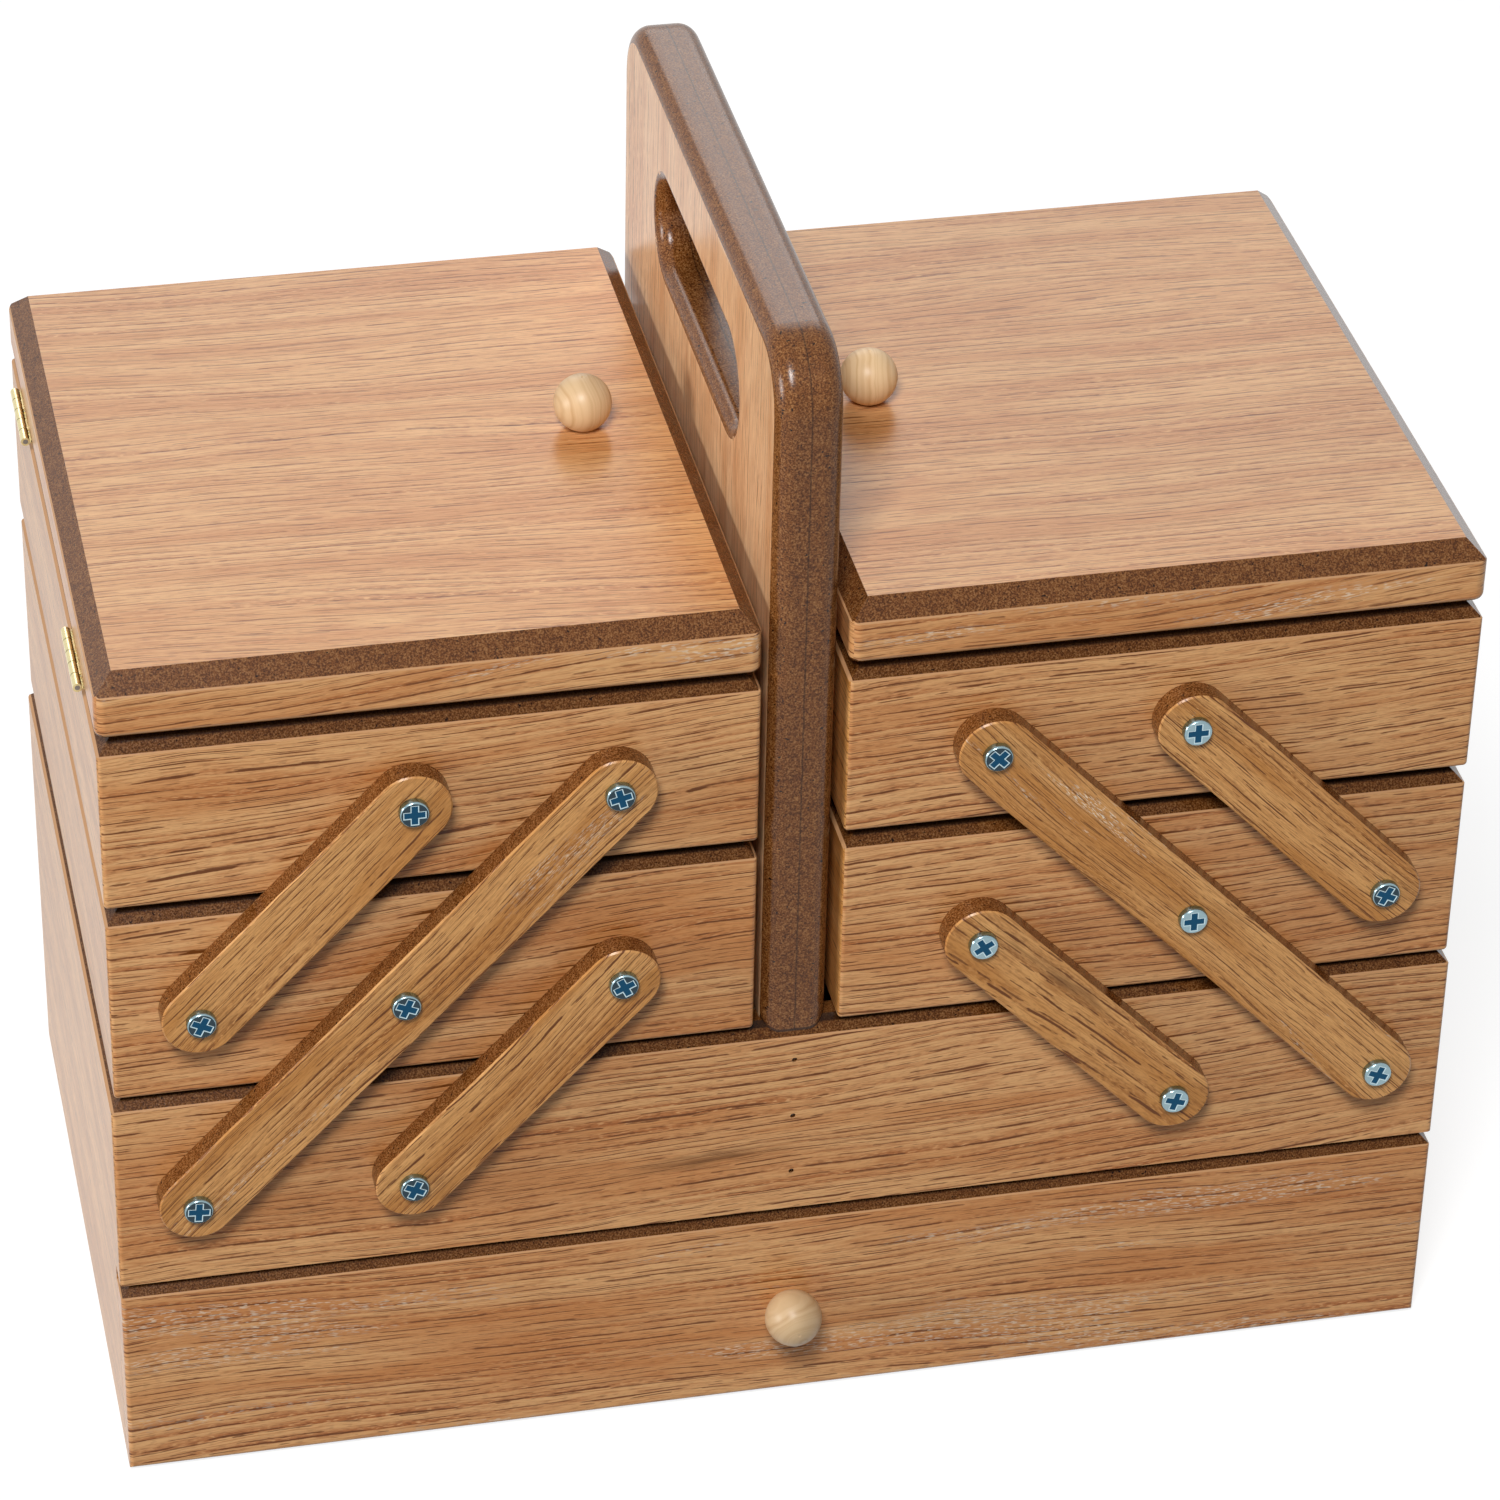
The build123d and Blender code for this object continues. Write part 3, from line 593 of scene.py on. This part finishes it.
def plated_metal(name, tint, roughness, speck):
    """Metal: zinc plate, brass plate or bare steel, its polish cloudy in specks of a size in mm."""
    material, tree = new_material(name)
    place = place_in_mm(tree)
    cloud = add_node(tree, "ShaderNodeTexNoise", {"Vector": place, "Scale": 1 / speck, "Detail": 3.0})
    low, high = roughness * 0.7, roughness * 1.4
    rough = add_node(
        tree, "ShaderNodeMapRange",
        {"Value": cloud, "From Min": 0.3, "From Max": 0.7, "To Min": low, "To Max": high},
    )
    relief = add_node(tree, "ShaderNodeBump", {"Height": cloud, "Strength": 0.15, "Distance": 0.05 * MM})
    return surfaced(material, {"Base Color": tint, "Metallic": 1.0, "Roughness": rough, "Normal": relief})


# ---- dressing the boards
def dress(node, finishes, pick=None):
    """Gives a CAD node its finishes: the first one all over, or on each face the one that pick gives it."""
    board = frame["nodes"][node]
    board.data.materials.clear()
    for finish in finishes:
        board.data.materials.append(finish)
    for face in board.data.polygons:
        face.material_index = pick(face.normal) if pick else 0


def wall_or_rim(normal):
    """0 for the veneer of an upright face, 1 for the bare fibreboard of any other."""
    return 0 if abs(normal.z) < UPRIGHT else 1


class CARRIER_OT_base(bpy.types.Operator):
    """Veneer on the base's walls, bare fibreboard on their rims, plywood floors"""

    bl_idname = "carrier.base"
    bl_label = "Base"

    def execute(self, context):
        fibre = lacquered_fibreboard("Lacquered fibreboard, base rim", walls=outline("base_front"))
        ply = bare_plywood()
        front = lacquered_oak(
            "base front", ALONG_X, ALONG_Z, (40, 12, 0), -70, 30, 0.05, 0.8, 1.0, tone=0.28, lean=2.5
        )
        mineral_streak(front, (-22, 81), (26, 3.2), 3.5)
        back = lacquered_oak("base back", ALONG_X, ALONG_Z, (700, 30, 0), -40, 30, 0.08, 0.6)
        sides = lacquered_oak("base sides", ALONG_Y, ALONG_Z, (300, 5, 0), -150, 60, 0.03, 0.3, arm=True)
        for node, veneer in (
            ("base_front", front), ("base_back", back), ("base_left_side", sides), ("base_right_side", sides)
        ):
            dress(node, (veneer, fibre), wall_or_rim)
        for node in ("base_shelf", "base_bottom"):
            dress(node, (ply,))
        return {"FINISHED"}


class CARRIER_OT_board(bpy.types.Operator):
    """Veneer on the carrying board's two faces, bare fibreboard round its edges and in the finger slot"""

    bl_idname = "carrier.board"
    bl_label = "Carrying board"

    def execute(self, context):
        rim_corner = frame["nodes"]["base_front"].bound_box
        rim = max(corner[2] for corner in rim_corner) / MM
        face = max(abs(corner[1]) for corner in rim_corner) / MM
        fibre = lacquered_fibreboard("Lacquered fibreboard, two boards glued", rim + face - RIM_BEVEL)
        veneer = lacquered_oak(
            "carrying board", ALONG_Z, ALONG_Y, (900, 20, 0), 150, 60, 0.0, 0.1, 0.5, streaks=0.6,
            tone=0.15, pale=context.scene.carrier_veneer.palest,
        )
        dress("handle_board", (veneer, fibre), lambda normal: 0 if abs(normal.x) > FLAT else 1)
        return {"FINISHED"}


class CARRIER_OT_drawer(bpy.types.Operator):
    """Veneered drawer front, plain sides and back, plywood bottom"""

    bl_idname = "carrier.drawer"
    bl_label = "Drawer"

    def execute(self, context):
        fibre = lacquered_fibreboard("Lacquered fibreboard, drawer rim", walls=outline("drawer_front"))
        ply = bare_plywood()
        front = lacquered_oak(
            "drawer front", ALONG_X, ALONG_Z, (360, 52, 0), -120, 25, 0.07, 0.9, 0.95, filler=0.55, lean=1.0
        )
        dress("drawer_front", (front, fibre), wall_or_rim)
        for node in ("drawer_left_side", "drawer_right_side", "drawer_back", "drawer_bottom"):
            dress(node, (ply,))
        return {"FINISHED"}


class CARRIER_OT_trays(bpy.types.Operator):
    """Veneer on the trays' walls, bare fibreboard on their rims, plywood floors"""

    bl_idname = "carrier.trays"
    bl_label = "Trays"

    def execute(self, context):
        fibre = lacquered_fibreboard("Lacquered fibreboard, tray rims", walls=outline("left_mid_tray_front"))
        ply = bare_plywood()
        for i, side in enumerate(SIDES):
            for j, tray in enumerate(("mid_tray", "top_tray")):
                label = f"{side} {tray.replace('_', ' ')}"
                run = 180 * (2 * i + j)
                long_grain = lacquered_oak(
                    label, ALONG_X, ALONG_Z, (run, 60 - 25 * j, 0), -90 + 60 * i, 25 + 8 * j,
                    0.06, 0.85, 1.0, tone=0.40 - 0.15 * (i + j), lean=3.0 + j,
                )
                side_grain = lacquered_oak(
                    f"{label} ends", ALONG_Y, ALONG_Z, (run + 50, 40, 0), -180, 60, 0.02, 0.3, arm=True
                )
                for wall, veneer in (
                    ("front", long_grain), ("back", long_grain), ("outer_side", side_grain),
                    ("inner_side", side_grain),
                ):
                    dress(f"{side}_{tray}_{wall}", (veneer, fibre), wall_or_rim)
                dress(f"{side}_{tray}_floor", (ply,))
        return {"FINISHED"}


class CARRIER_OT_lids(bpy.types.Operator):
    """Veneer on the lids' faces and edges, bare fibreboard on the bevel round their tops"""

    bl_idname = "carrier.lids"
    bl_label = "Lids"

    def execute(self, context):
        # the lids' rims get only a light, even painted shade, with no darker line
        fibre = lacquered_fibreboard(
            "Lacquered fibreboard, lid rims", walls=outline("left_lid_board"), painted_rim_shade=0.13, deep=0.13, bend=1.3
        )

        def pick(normal):
            if abs(normal.z) > FLAT:
                return 0
            if wall_or_rim(normal):
                return 3
            return 1 if abs(normal.y) > abs(normal.x) else 2

        for side, shift, heart, depth, taper in (
            ("left", (20, 0, 0), -150, 50, 0.10), ("right", (560, 30, 0), -230, 45, 0.02),
        ):
            face = lacquered_oak(
                f"{side} lid", ALONG_X, ALONG_Y, shift, heart, depth, taper, 0.5, 0.6, streaks=0.8, tone=0.33
            )
            front = lacquered_oak(
                f"{side} lid front edge", ALONG_X, ALONG_Z, shift, -150, 30, 0.03, 0.8,
                filler=0.6, tone=0.25, lean=4.0,
            )
            end = lacquered_oak(f"{side} lid end edge", ALONG_Y, ALONG_Z, shift, -150, 30, 0.02, 0.3)
            dress(f"{side}_lid_board", (face, front, end, fibre), pick)
        return {"FINISHED"}


def joint_place(name):
    """Rest place of a joint in the frame."""
    return Vector(next(j for j in frame["joints"] if j["name"] == name)["pos_m"])


# figure, strength of the lines and filler of the veneer on the long, the lower and the upper arms
ARM_LEAVES = {
    "left": ((1.0, 1.0, 0.5), (0.95, 1.0, 0.0), (0.6, 0.95, 0.0)),
    "right": ((0.5, 0.85, 1.0), (0.85, 1.0, 0.0), (0.7, 1.0, 0.0)),
}


class CARRIER_OT_arms(bpy.types.Operator):
    """Veneer with its grain along each arm, bare fibreboard round the arms' edges"""

    bl_idname = "carrier.arms"
    bl_label = "Arms"

    def execute(self, context):
        fibre = lacquered_fibreboard("Lacquered fibreboard")
        for i, side in enumerate(SIDES):
            along = joint_place(f"{side}_top_tray_level") - joint_place(f"{side}_fold")
            across = Vector((-along.z, 0, along.x))
            for j, arm in enumerate(("long_arms", "lower_arms", "upper_arms")):
                veneer = lacquered_oak(
                    f"{side} {arm.replace('_', ' ')}", along, across,
                    (137 * (3 * i + j), 20 * j, 0), -120, 30, 0.03, *ARM_LEAVES[side][j], streaks=1.3,
                    fineness=1.3, arm=True,
                )
                if (side, arm) == ("right", "lower_arms"):
                    mineral_streak(veneer, (69, 130), (24, 2.8), -44.0)
                dress(f"{side}_{arm}", (veneer, fibre), lambda normal: 0 if abs(normal.y) > ARM_FACE else 1)
        return {"FINISHED"}


def loose_boxes(node):
    """Low and high corner in mm of each separate solid of a CAD node, from left to right."""
    shape = bmesh.new()
    shape.from_mesh(frame["nodes"][node].data)
    bmesh.ops.remove_doubles(shape, verts=shape.verts, dist=1e-6)
    waiting, boxes = set(shape.verts), []
    while waiting:
        found = [waiting.pop()]
        for corner in found:
            for edge in corner.link_edges:
                other = edge.other_vert(corner)
                if other in waiting:
                    waiting.remove(other)
                    found.append(other)
        low = Vector(min(corner.co[i] for corner in found) for i in range(3)) / MM
        high = Vector(max(corner.co[i] for corner in found) for i in range(3)) / MM
        boxes.append((low, high))
    shape.free()
    return sorted(boxes, key=lambda box: box[0].x)


def new_piece(name, shape, finishes, body, node):
    """Object of a shape drawn in mm, riding on a body in place of a CAD node."""
    bmesh.ops.recalc_face_normals(shape, faces=shape.faces)
    bmesh.ops.scale(shape, vec=(MM,) * 3, verts=shape.verts)
    mesh = bpy.data.meshes.new(name)
    shape.to_mesh(mesh)
    shape.free()
    for finish in finishes:
        mesh.materials.append(finish)
    piece = bpy.data.objects.new(name, mesh)
    bpy.context.collection.objects.link(piece)
    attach(piece, body)
    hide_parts(node)
    return piece


def only(kind, parts):
    """Those of a mesh's parts that are of one kind."""
    return [part for part in parts if isinstance(part, kind)]


def sharpen(shape, degrees):
    """Marks the edges that turn by more than an angle as sharp."""
    for edge in shape.edges:
        if len(edge.link_faces) == 2 and edge.calc_face_angle() > math.radians(degrees):
            edge.smooth = False


def pan_head_screw(shape, seat, outwards, turn, length, finish):
    """Adds a pan-head screw: its head's foot at seat, its axis outwards, its cross turned about that axis,
    and its face in the finish of a slot: 0 for bright plate, 1 for the dark plate that paints a dark
    reflection."""
    fitting = bpy.context.scene.carrier_fitting
    head = bmesh.new()
    head_radius = HEAD_OVER_THREAD * fitting.screw_radius
    flat = head_radius - fitting.screw_round
    height, half = fitting.screw_height, fitting.recess_length / 2

    # cross recess: a grid without its corners, sunk with a draught
    grid = bmesh.ops.create_grid(head, x_segments=3, y_segments=3, size=half)["verts"]
    for corner in grid:
        for i in (0, 1):
            if abs(corner.co[i]) < half / 2:
                corner.co[i] = math.copysign(fitting.recess_width / 2, corner.co[i])
        corner.co.z = height
    corners = [face for face in head.faces if min(abs(v) for v in face.calc_center_median()[:2]) > half / 3]
    bmesh.ops.delete(head, geom=corners, context="FACES")
    cross = bmesh.ops.dissolve_faces(head, faces=head.faces)["region"][0]
    lip = bmesh.ops.inset_region(
        head, faces=[cross], thickness=fitting.recess_lip, depth=-LIP_DROP, use_even_offset=True,
        use_boundary=True,
    )["faces"]
    mouth = [edge for edge in head.edges if len(edge.link_faces) == 1]
    sunk = bmesh.ops.extrude_face_region(head, geom=[cross])["geom"]
    for corner in only(BMVert, sunk):
        for i in (0, 1):
            corner.co[i] *= FLOOR_LENGTH if abs(corner.co[i]) > half / 2 else FLOOR_WIDTH
        corner.co.z -= fitting.recess_depth
    bmesh.ops.poke(head, faces=only(BMFace, sunk), offset=-FLOOR_POINT)

    # flat top round the recess, then round shoulder, rim, foot and thread
    ring = bmesh.ops.create_circle(head, segments=fitting.screw_sides, radius=flat)["verts"]
    bmesh.ops.translate(head, vec=(0, 0, height), verts=ring)
    rim = list({edge for corner in ring for edge in corner.link_edges})
    # the lip's faces, which get the painted highlight
    recess, polished = set(head.faces), set(lip)
    bmesh.ops.triangle_fill(head, use_beauty=True, edges=rim + [edge for edge in mouth if edge.is_valid])
    profile = []
    for i in range(1, SHOULDER_STEPS + 1):
        angle = i / SHOULDER_STEPS * math.pi / 2
        fall = SHOULDER_DROP * height * (1 - math.cos(angle))
        profile.append((flat + fitting.screw_round * math.sin(angle), height - fall))
    profile += [(head_radius, 0.0), (fitting.screw_radius, 0.0), (fitting.screw_radius, -length)]
    for radius, level in profile:
        made = bmesh.ops.extrude_edge_only(head, edges=rim)["geom"]
        rim = only(BMEdge, made)
        for corner in only(BMVert, made):
            corner.co.xy = corner.co.xy.normalized() * radius
            corner.co.z = level
    bmesh.ops.edgeloop_fill(head, edges=rim)
    for face in head.faces:
        face.smooth = face not in recess
        inner = face.calc_center_median().xy.length < FACE_SHARE * head_radius
        face.material_index = finish if inner else 0
        # the recess's faces: the dark blue plate as painted shade inside, the pale plate as a painted
        # highlight on the lip
        if face in recess:
            face.material_index = 3 if face in polished else 2
    sharpen(head, 35)

    pose = outwards.to_track_quat("Z", "X").to_matrix()
    across = pose.inverted() @ ALONG_X
    square = math.atan2(across.y, across.x)
    spin = Matrix.Rotation(square + math.radians(turn), 3, "Z")
    bmesh.ops.transform(head, matrix=(pose @ spin).to_4x4(), verts=head.verts)
    bmesh.ops.translate(head, vec=seat, verts=head.verts)
    done = bpy.data.meshes.new("screw")
    head.to_mesh(done)
    head.free()
    shape.from_mesh(done)
    bpy.data.meshes.remove(done)


# turn of each screw's cross in degrees, and whether its face is dark plate, a painted dark reflection, from
# left to right on each face
CROSSES = {
    "base": ((-5, 1), (-27, 1), (-17, 0), (-23, 0)),
    "left_mid_tray": ((-27, 1), (-24, 1), (25, 1)),
    "left_top_tray": ((0, 1), (15, 1)),
    "right_mid_tray": ((30, 0), (0, 0), (-27, 1)),
    "right_top_tray": ((45, 1), (0, 0)),
}


def turned_knob(node, seat, outwards, tenon, body, painted_shading):
    """Ball turned on a lathe, with a flat foot at seat, a dimple at its tip and a tenon behind its foot."""
    fitting = bpy.context.scene.carrier_fitting
    radius, sides = fitting.knob_radius, fitting.knob_sides
    lift = radius - KNOB_FOOT
    shape = bmesh.new()
    dimple = math.asin(DIMPLE_RADIUS / radius)
    start = Vector((radius * math.sin(dimple), 0, lift + radius * math.cos(dimple)))
    tip = bmesh.ops.create_vert(shape, co=start)["vert"][0]
    sweep = math.pi - math.acos(lift / radius) - dimple
    bmesh.ops.spin(shape, geom=[tip], cent=(0, 0, lift), axis=ALONG_Y, angle=sweep, steps=sides // 2)
    foot = min(shape.verts, key=lambda corner: corner.co.z)
    for place in ((TENON_RADIUS, 0, 0), (TENON_RADIUS, 0, -tenon), (0, 0, -tenon)):
        foot = bmesh.ops.extrude_vert_indiv(shape, verts=[foot])["verts"][0]
        foot.co = place
    hollow = bmesh.ops.extrude_vert_indiv(shape, verts=[tip])["verts"][0]
    hollow.co = (0, 0, start.z - DIMPLE_DEPTH)
    bmesh.ops.spin(
        shape, geom=shape.edges[:] + shape.verts[:], cent=(0, 0, 0), axis=ALONG_Z, angle=2 * math.pi,
        steps=sides, use_merge=True,
    )
    bmesh.ops.remove_doubles(shape, verts=shape.verts, dist=1e-4)
    for face in shape.faces:
        face.smooth = True
    sharpen(shape, 30)
    pose = outwards.to_track_quat("Z", "X").to_matrix().to_4x4()
    bmesh.ops.transform(shape, matrix=Matrix.Translation(seat) @ pose, verts=shape.verts)
    upright = abs(outwards.z) > 0.5
    along, pith = (ALONG_Z, (-12, 4, 0)) if upright else (ALONG_Y, (seat.x + 1.5, 3 - seat.z, 0))
    wood = turned_beech(f"Turned beech, {node.replace('_', ' ')}", along, pith, painted_shading)
    new_piece(f"turned_{node}", shape, (wood,), body, node)


class CARRIER_OT_fittings(bpy.types.Operator):
    """Zinc screws, beech knobs, brass hinges and steel pins"""

    bl_idname = "carrier.fittings"
    bl_label = "Fittings"

    def execute(self, context):
        fitting = context.scene.carrier_fitting
        zinc = plated_metal("Zinc plate", fitting.zinc, 0.2, 1.5)
        # painted light on the screws: a dark plate for a dark reflection on some faces, a dark blue plate for
        # shade in the recess, a pale plate for a highlight on the lip
        dark_reflection = plated_metal("Dull zinc plate", fitting.dark_reflection_zinc, 0.3, 1.5)
        deep = plated_metal("Zinc plate, painted shade in the recess", fitting.recess_shade_zinc, 0.25, 1.0)
        lip_highlight = plated_metal("Zinc plate, painted highlight on the lip", fitting.lip_highlight_zinc, 0.2, 0.8)
        brass = plated_metal("Plated brass", fitting.brass, 0.24, 2.0)
        steel = plated_metal("Bare steel", fitting.steel, 0.35, 1.0)
        for node in frame["nodes"]:
            if node.endswith("pins") or node == "handle_brads":
                dress(node, (steel,))
            elif "_hinge_" in node:
                dress(node, (brass,))

        for holder, crosses in CROSSES.items():
            node = f"{holder}_pivot_screws"
            shape = bmesh.new()
            for face in (-1, 1):
                row = [box for box in loose_boxes(node) if (box[0].y + box[1].y) * face > 0]
                for (low, high), (turn, grey) in zip(row, crosses):
                    middle = (low + high) / 2
                    top = high.y if face > 0 else -low.y
                    seat = Vector((middle.x, face * (top - HEAD_IN_CAD), middle.z))
                    length = high.y - low.y - HEAD_IN_CAD
                    pan_head_screw(shape, seat, ALONG_Y * face, -turn * face, length, grey)
            plates = (zinc, dark_reflection, deep, lip_highlight)
            new_piece(f"{holder}_pan_head_screws", shape, plates, holder, node)

        # the last column scales each knob's colour as painted light and shade: lighter for the right lid's
        # knob, which stands in the board's shadow, darker for the drawer's
        for node, outwards, body, painted_shading in (
            ("left_lid_knob", ALONG_Z, "left_lid", 0.94), ("right_lid_knob", ALONG_Z, "right_lid", 1.2),
            ("drawer_knob", -ALONG_Y, "drawer", 0.82),
        ):
            low, high = loose_boxes(node)[0]
            middle = (low + high) / 2
            reach = 2 * fitting.knob_radius - KNOB_FOOT
            if outwards is ALONG_Z:
                seat, tenon = Vector((middle.x, middle.y, high.z - reach)), high.z - reach - low.z
            else:
                seat, tenon = Vector((middle.x, low.y + reach, middle.z)), high.y - low.y - reach
            turned_knob(node, seat, outwards, tenon, body, painted_shading)
        return {"FINISHED"}


def soft_lamp(name, direction, distance, width, height, power):
    """Area lamp that shines at the middle of the carrier from a direction."""
    middle = (CAD_BOX[0] + CAD_BOX[1]) / 2
    data = bpy.data.lights.new(name, "AREA")
    data.shape = "RECTANGLE"
    data.size, data.size_y = width, height
    data.energy = power
    lamp = bpy.data.objects.new(name, data)
    lamp.location = middle + Vector(direction).normalized() * distance
    lamp.rotation_euler = (middle - lamp.location).to_track_quat("-Z", "Y").to_euler()
    bpy.context.collection.objects.link(lamp)


def background_seen(tree):
    """Share of 1 on the rays that see the background: straight, mirrored or through glass."""
    path = add_node(tree, "ShaderNodeLightPath")
    seen = add_node(
        tree, "ShaderNodeMath", {0: path.outputs["Is Camera Ray"], 1: path.outputs["Is Glossy Ray"]},
        operation="MAXIMUM",
    )
    return add_node(
        tree, "ShaderNodeMath", {0: seen, 1: path.outputs["Is Transmission Ray"]}, operation="MAXIMUM"
    )


class CARRIER_OT_stage(bpy.types.Operator):
    """Pale floor, soft lamps, surroundings and the camera"""

    bl_idname = "carrier.stage"
    bl_label = "Stage"

    def execute(self, context):
        studio = context.scene.carrier_studio
        mesh = bpy.data.meshes.new("floor")
        shape = bmesh.new()
        bmesh.ops.create_grid(shape, x_segments=1, y_segments=1, size=FLOOR_HALF)
        shape.to_mesh(mesh)
        shape.free()
        floor = bpy.data.objects.new("floor", mesh)
        context.collection.objects.link(floor)
        paper, tree = new_material("Matt background paper")
        shown = background_seen(tree)
        pair = {"Factor": shown, "A": studio.floor, "B": PAPER_SEEN}
        tint = add_node(tree, "ShaderNodeMix", pair, data_type="RGBA")
        glow = add_node(tree, "ShaderNodeMath", {0: shown, 1: PAPER_GLOW}, operation="MULTIPLY")
        shine = {"Emission Color": (1, 1, 1, 1), "Emission Strength": glow, "Specular IOR Level": 0.0}
        surfaced(paper, {"Base Color": tint, "Roughness": 1.0, **shine})
        mesh.materials.append(paper)

        world = bpy.data.worlds.new("Pale surroundings")
        context.scene.world = world
        world.use_nodes = True
        tree = world.node_tree
        tree.nodes.clear()
        level = add_node(
            tree, "ShaderNodeMapRange", {"Value": background_seen(tree), "To Min": studio.sky, "To Max": 1.0}
        )
        sky = add_node(tree, "ShaderNodeBackground", {"Color": (1, 1, 1, 1), "Strength": level})
        add_node(tree, "ShaderNodeOutputWorld", {"Surface": sky})

        soft_lamp("key lamp", (-0.23, -0.62, 0.75), 2.6, 0.6, 0.6, studio.key)
        soft_lamp("side lamp", (-0.96, -0.22, 0.20), 2.6, 0.7, 0.5, studio.side)
        soft_lamp("window", (0.12, 0.84, 0.56), 2.2, 1.7, 1.1, studio.window)

        data = bpy.data.cameras.new("camera")
        data.lens = studio.lens
        data.sensor_width = 36.0
        data.sensor_fit = "HORIZONTAL"
        camera = bpy.data.objects.new("camera", data)
        azimuth, elevation, roll = CAMERA_TURN
        flat = math.cos(elevation)
        back = Vector((-math.sin(azimuth) * flat, -math.cos(azimuth) * flat, math.sin(elevation)))
        upright = (-back).to_track_quat("-Z", "Y").to_matrix()
        turn = (upright @ Matrix.Rotation(roll, 3, "Z")).to_4x4()
        camera.matrix_world = Matrix.Translation(Vector(CAMERA_AIM) * MM + back * studio.distance) @ turn
        context.collection.objects.link(camera)
        context.scene.camera = camera
        context.scene.view_settings.view_transform = "Standard"
        return {"FINISHED"}


STEPS = (
    CARRIER_OT_stage, CARRIER_OT_base, CARRIER_OT_board, CARRIER_OT_drawer, CARRIER_OT_trays,
    CARRIER_OT_lids, CARRIER_OT_arms, CARRIER_OT_fittings,
)


class CARRIER_PT_panel(bpy.types.Panel):
    """Steps that dress the carrier"""

    bl_idname = "CARRIER_PT_panel"
    bl_label = "Sewing Carrier"
    bl_space_type = "VIEW_3D"
    bl_region_type = "UI"
    bl_category = "Carrier"

    def draw(self, context):
        for step in STEPS:
            self.layout.operator(step.bl_idname)


SETTINGS = (
    ("carrier_veneer", VeneerSettings), ("carrier_fibreboard", FibreboardSettings),
    ("carrier_fitting", FittingSettings), ("carrier_studio", StudioSettings),
)


def register():
    for name, group in SETTINGS:
        bpy.utils.register_class(group)
        setattr(bpy.types.Scene, name, PointerProperty(type=group))
    for step in STEPS + (CARRIER_PT_panel,):
        bpy.utils.register_class(step)


def unregister():
    for step in (CARRIER_PT_panel,) + STEPS[::-1]:
        bpy.utils.unregister_class(step)
    for name, group in SETTINGS[::-1]:
        delattr(bpy.types.Scene, name)
        bpy.utils.unregister_class(group)


def main():
    """Dresses the carrier step by step."""
    register()
    for step in STEPS:
        family, name = step.bl_idname.split(".")
        getattr(getattr(bpy.ops, family), name)()


if __name__ == "__main__":
    main()
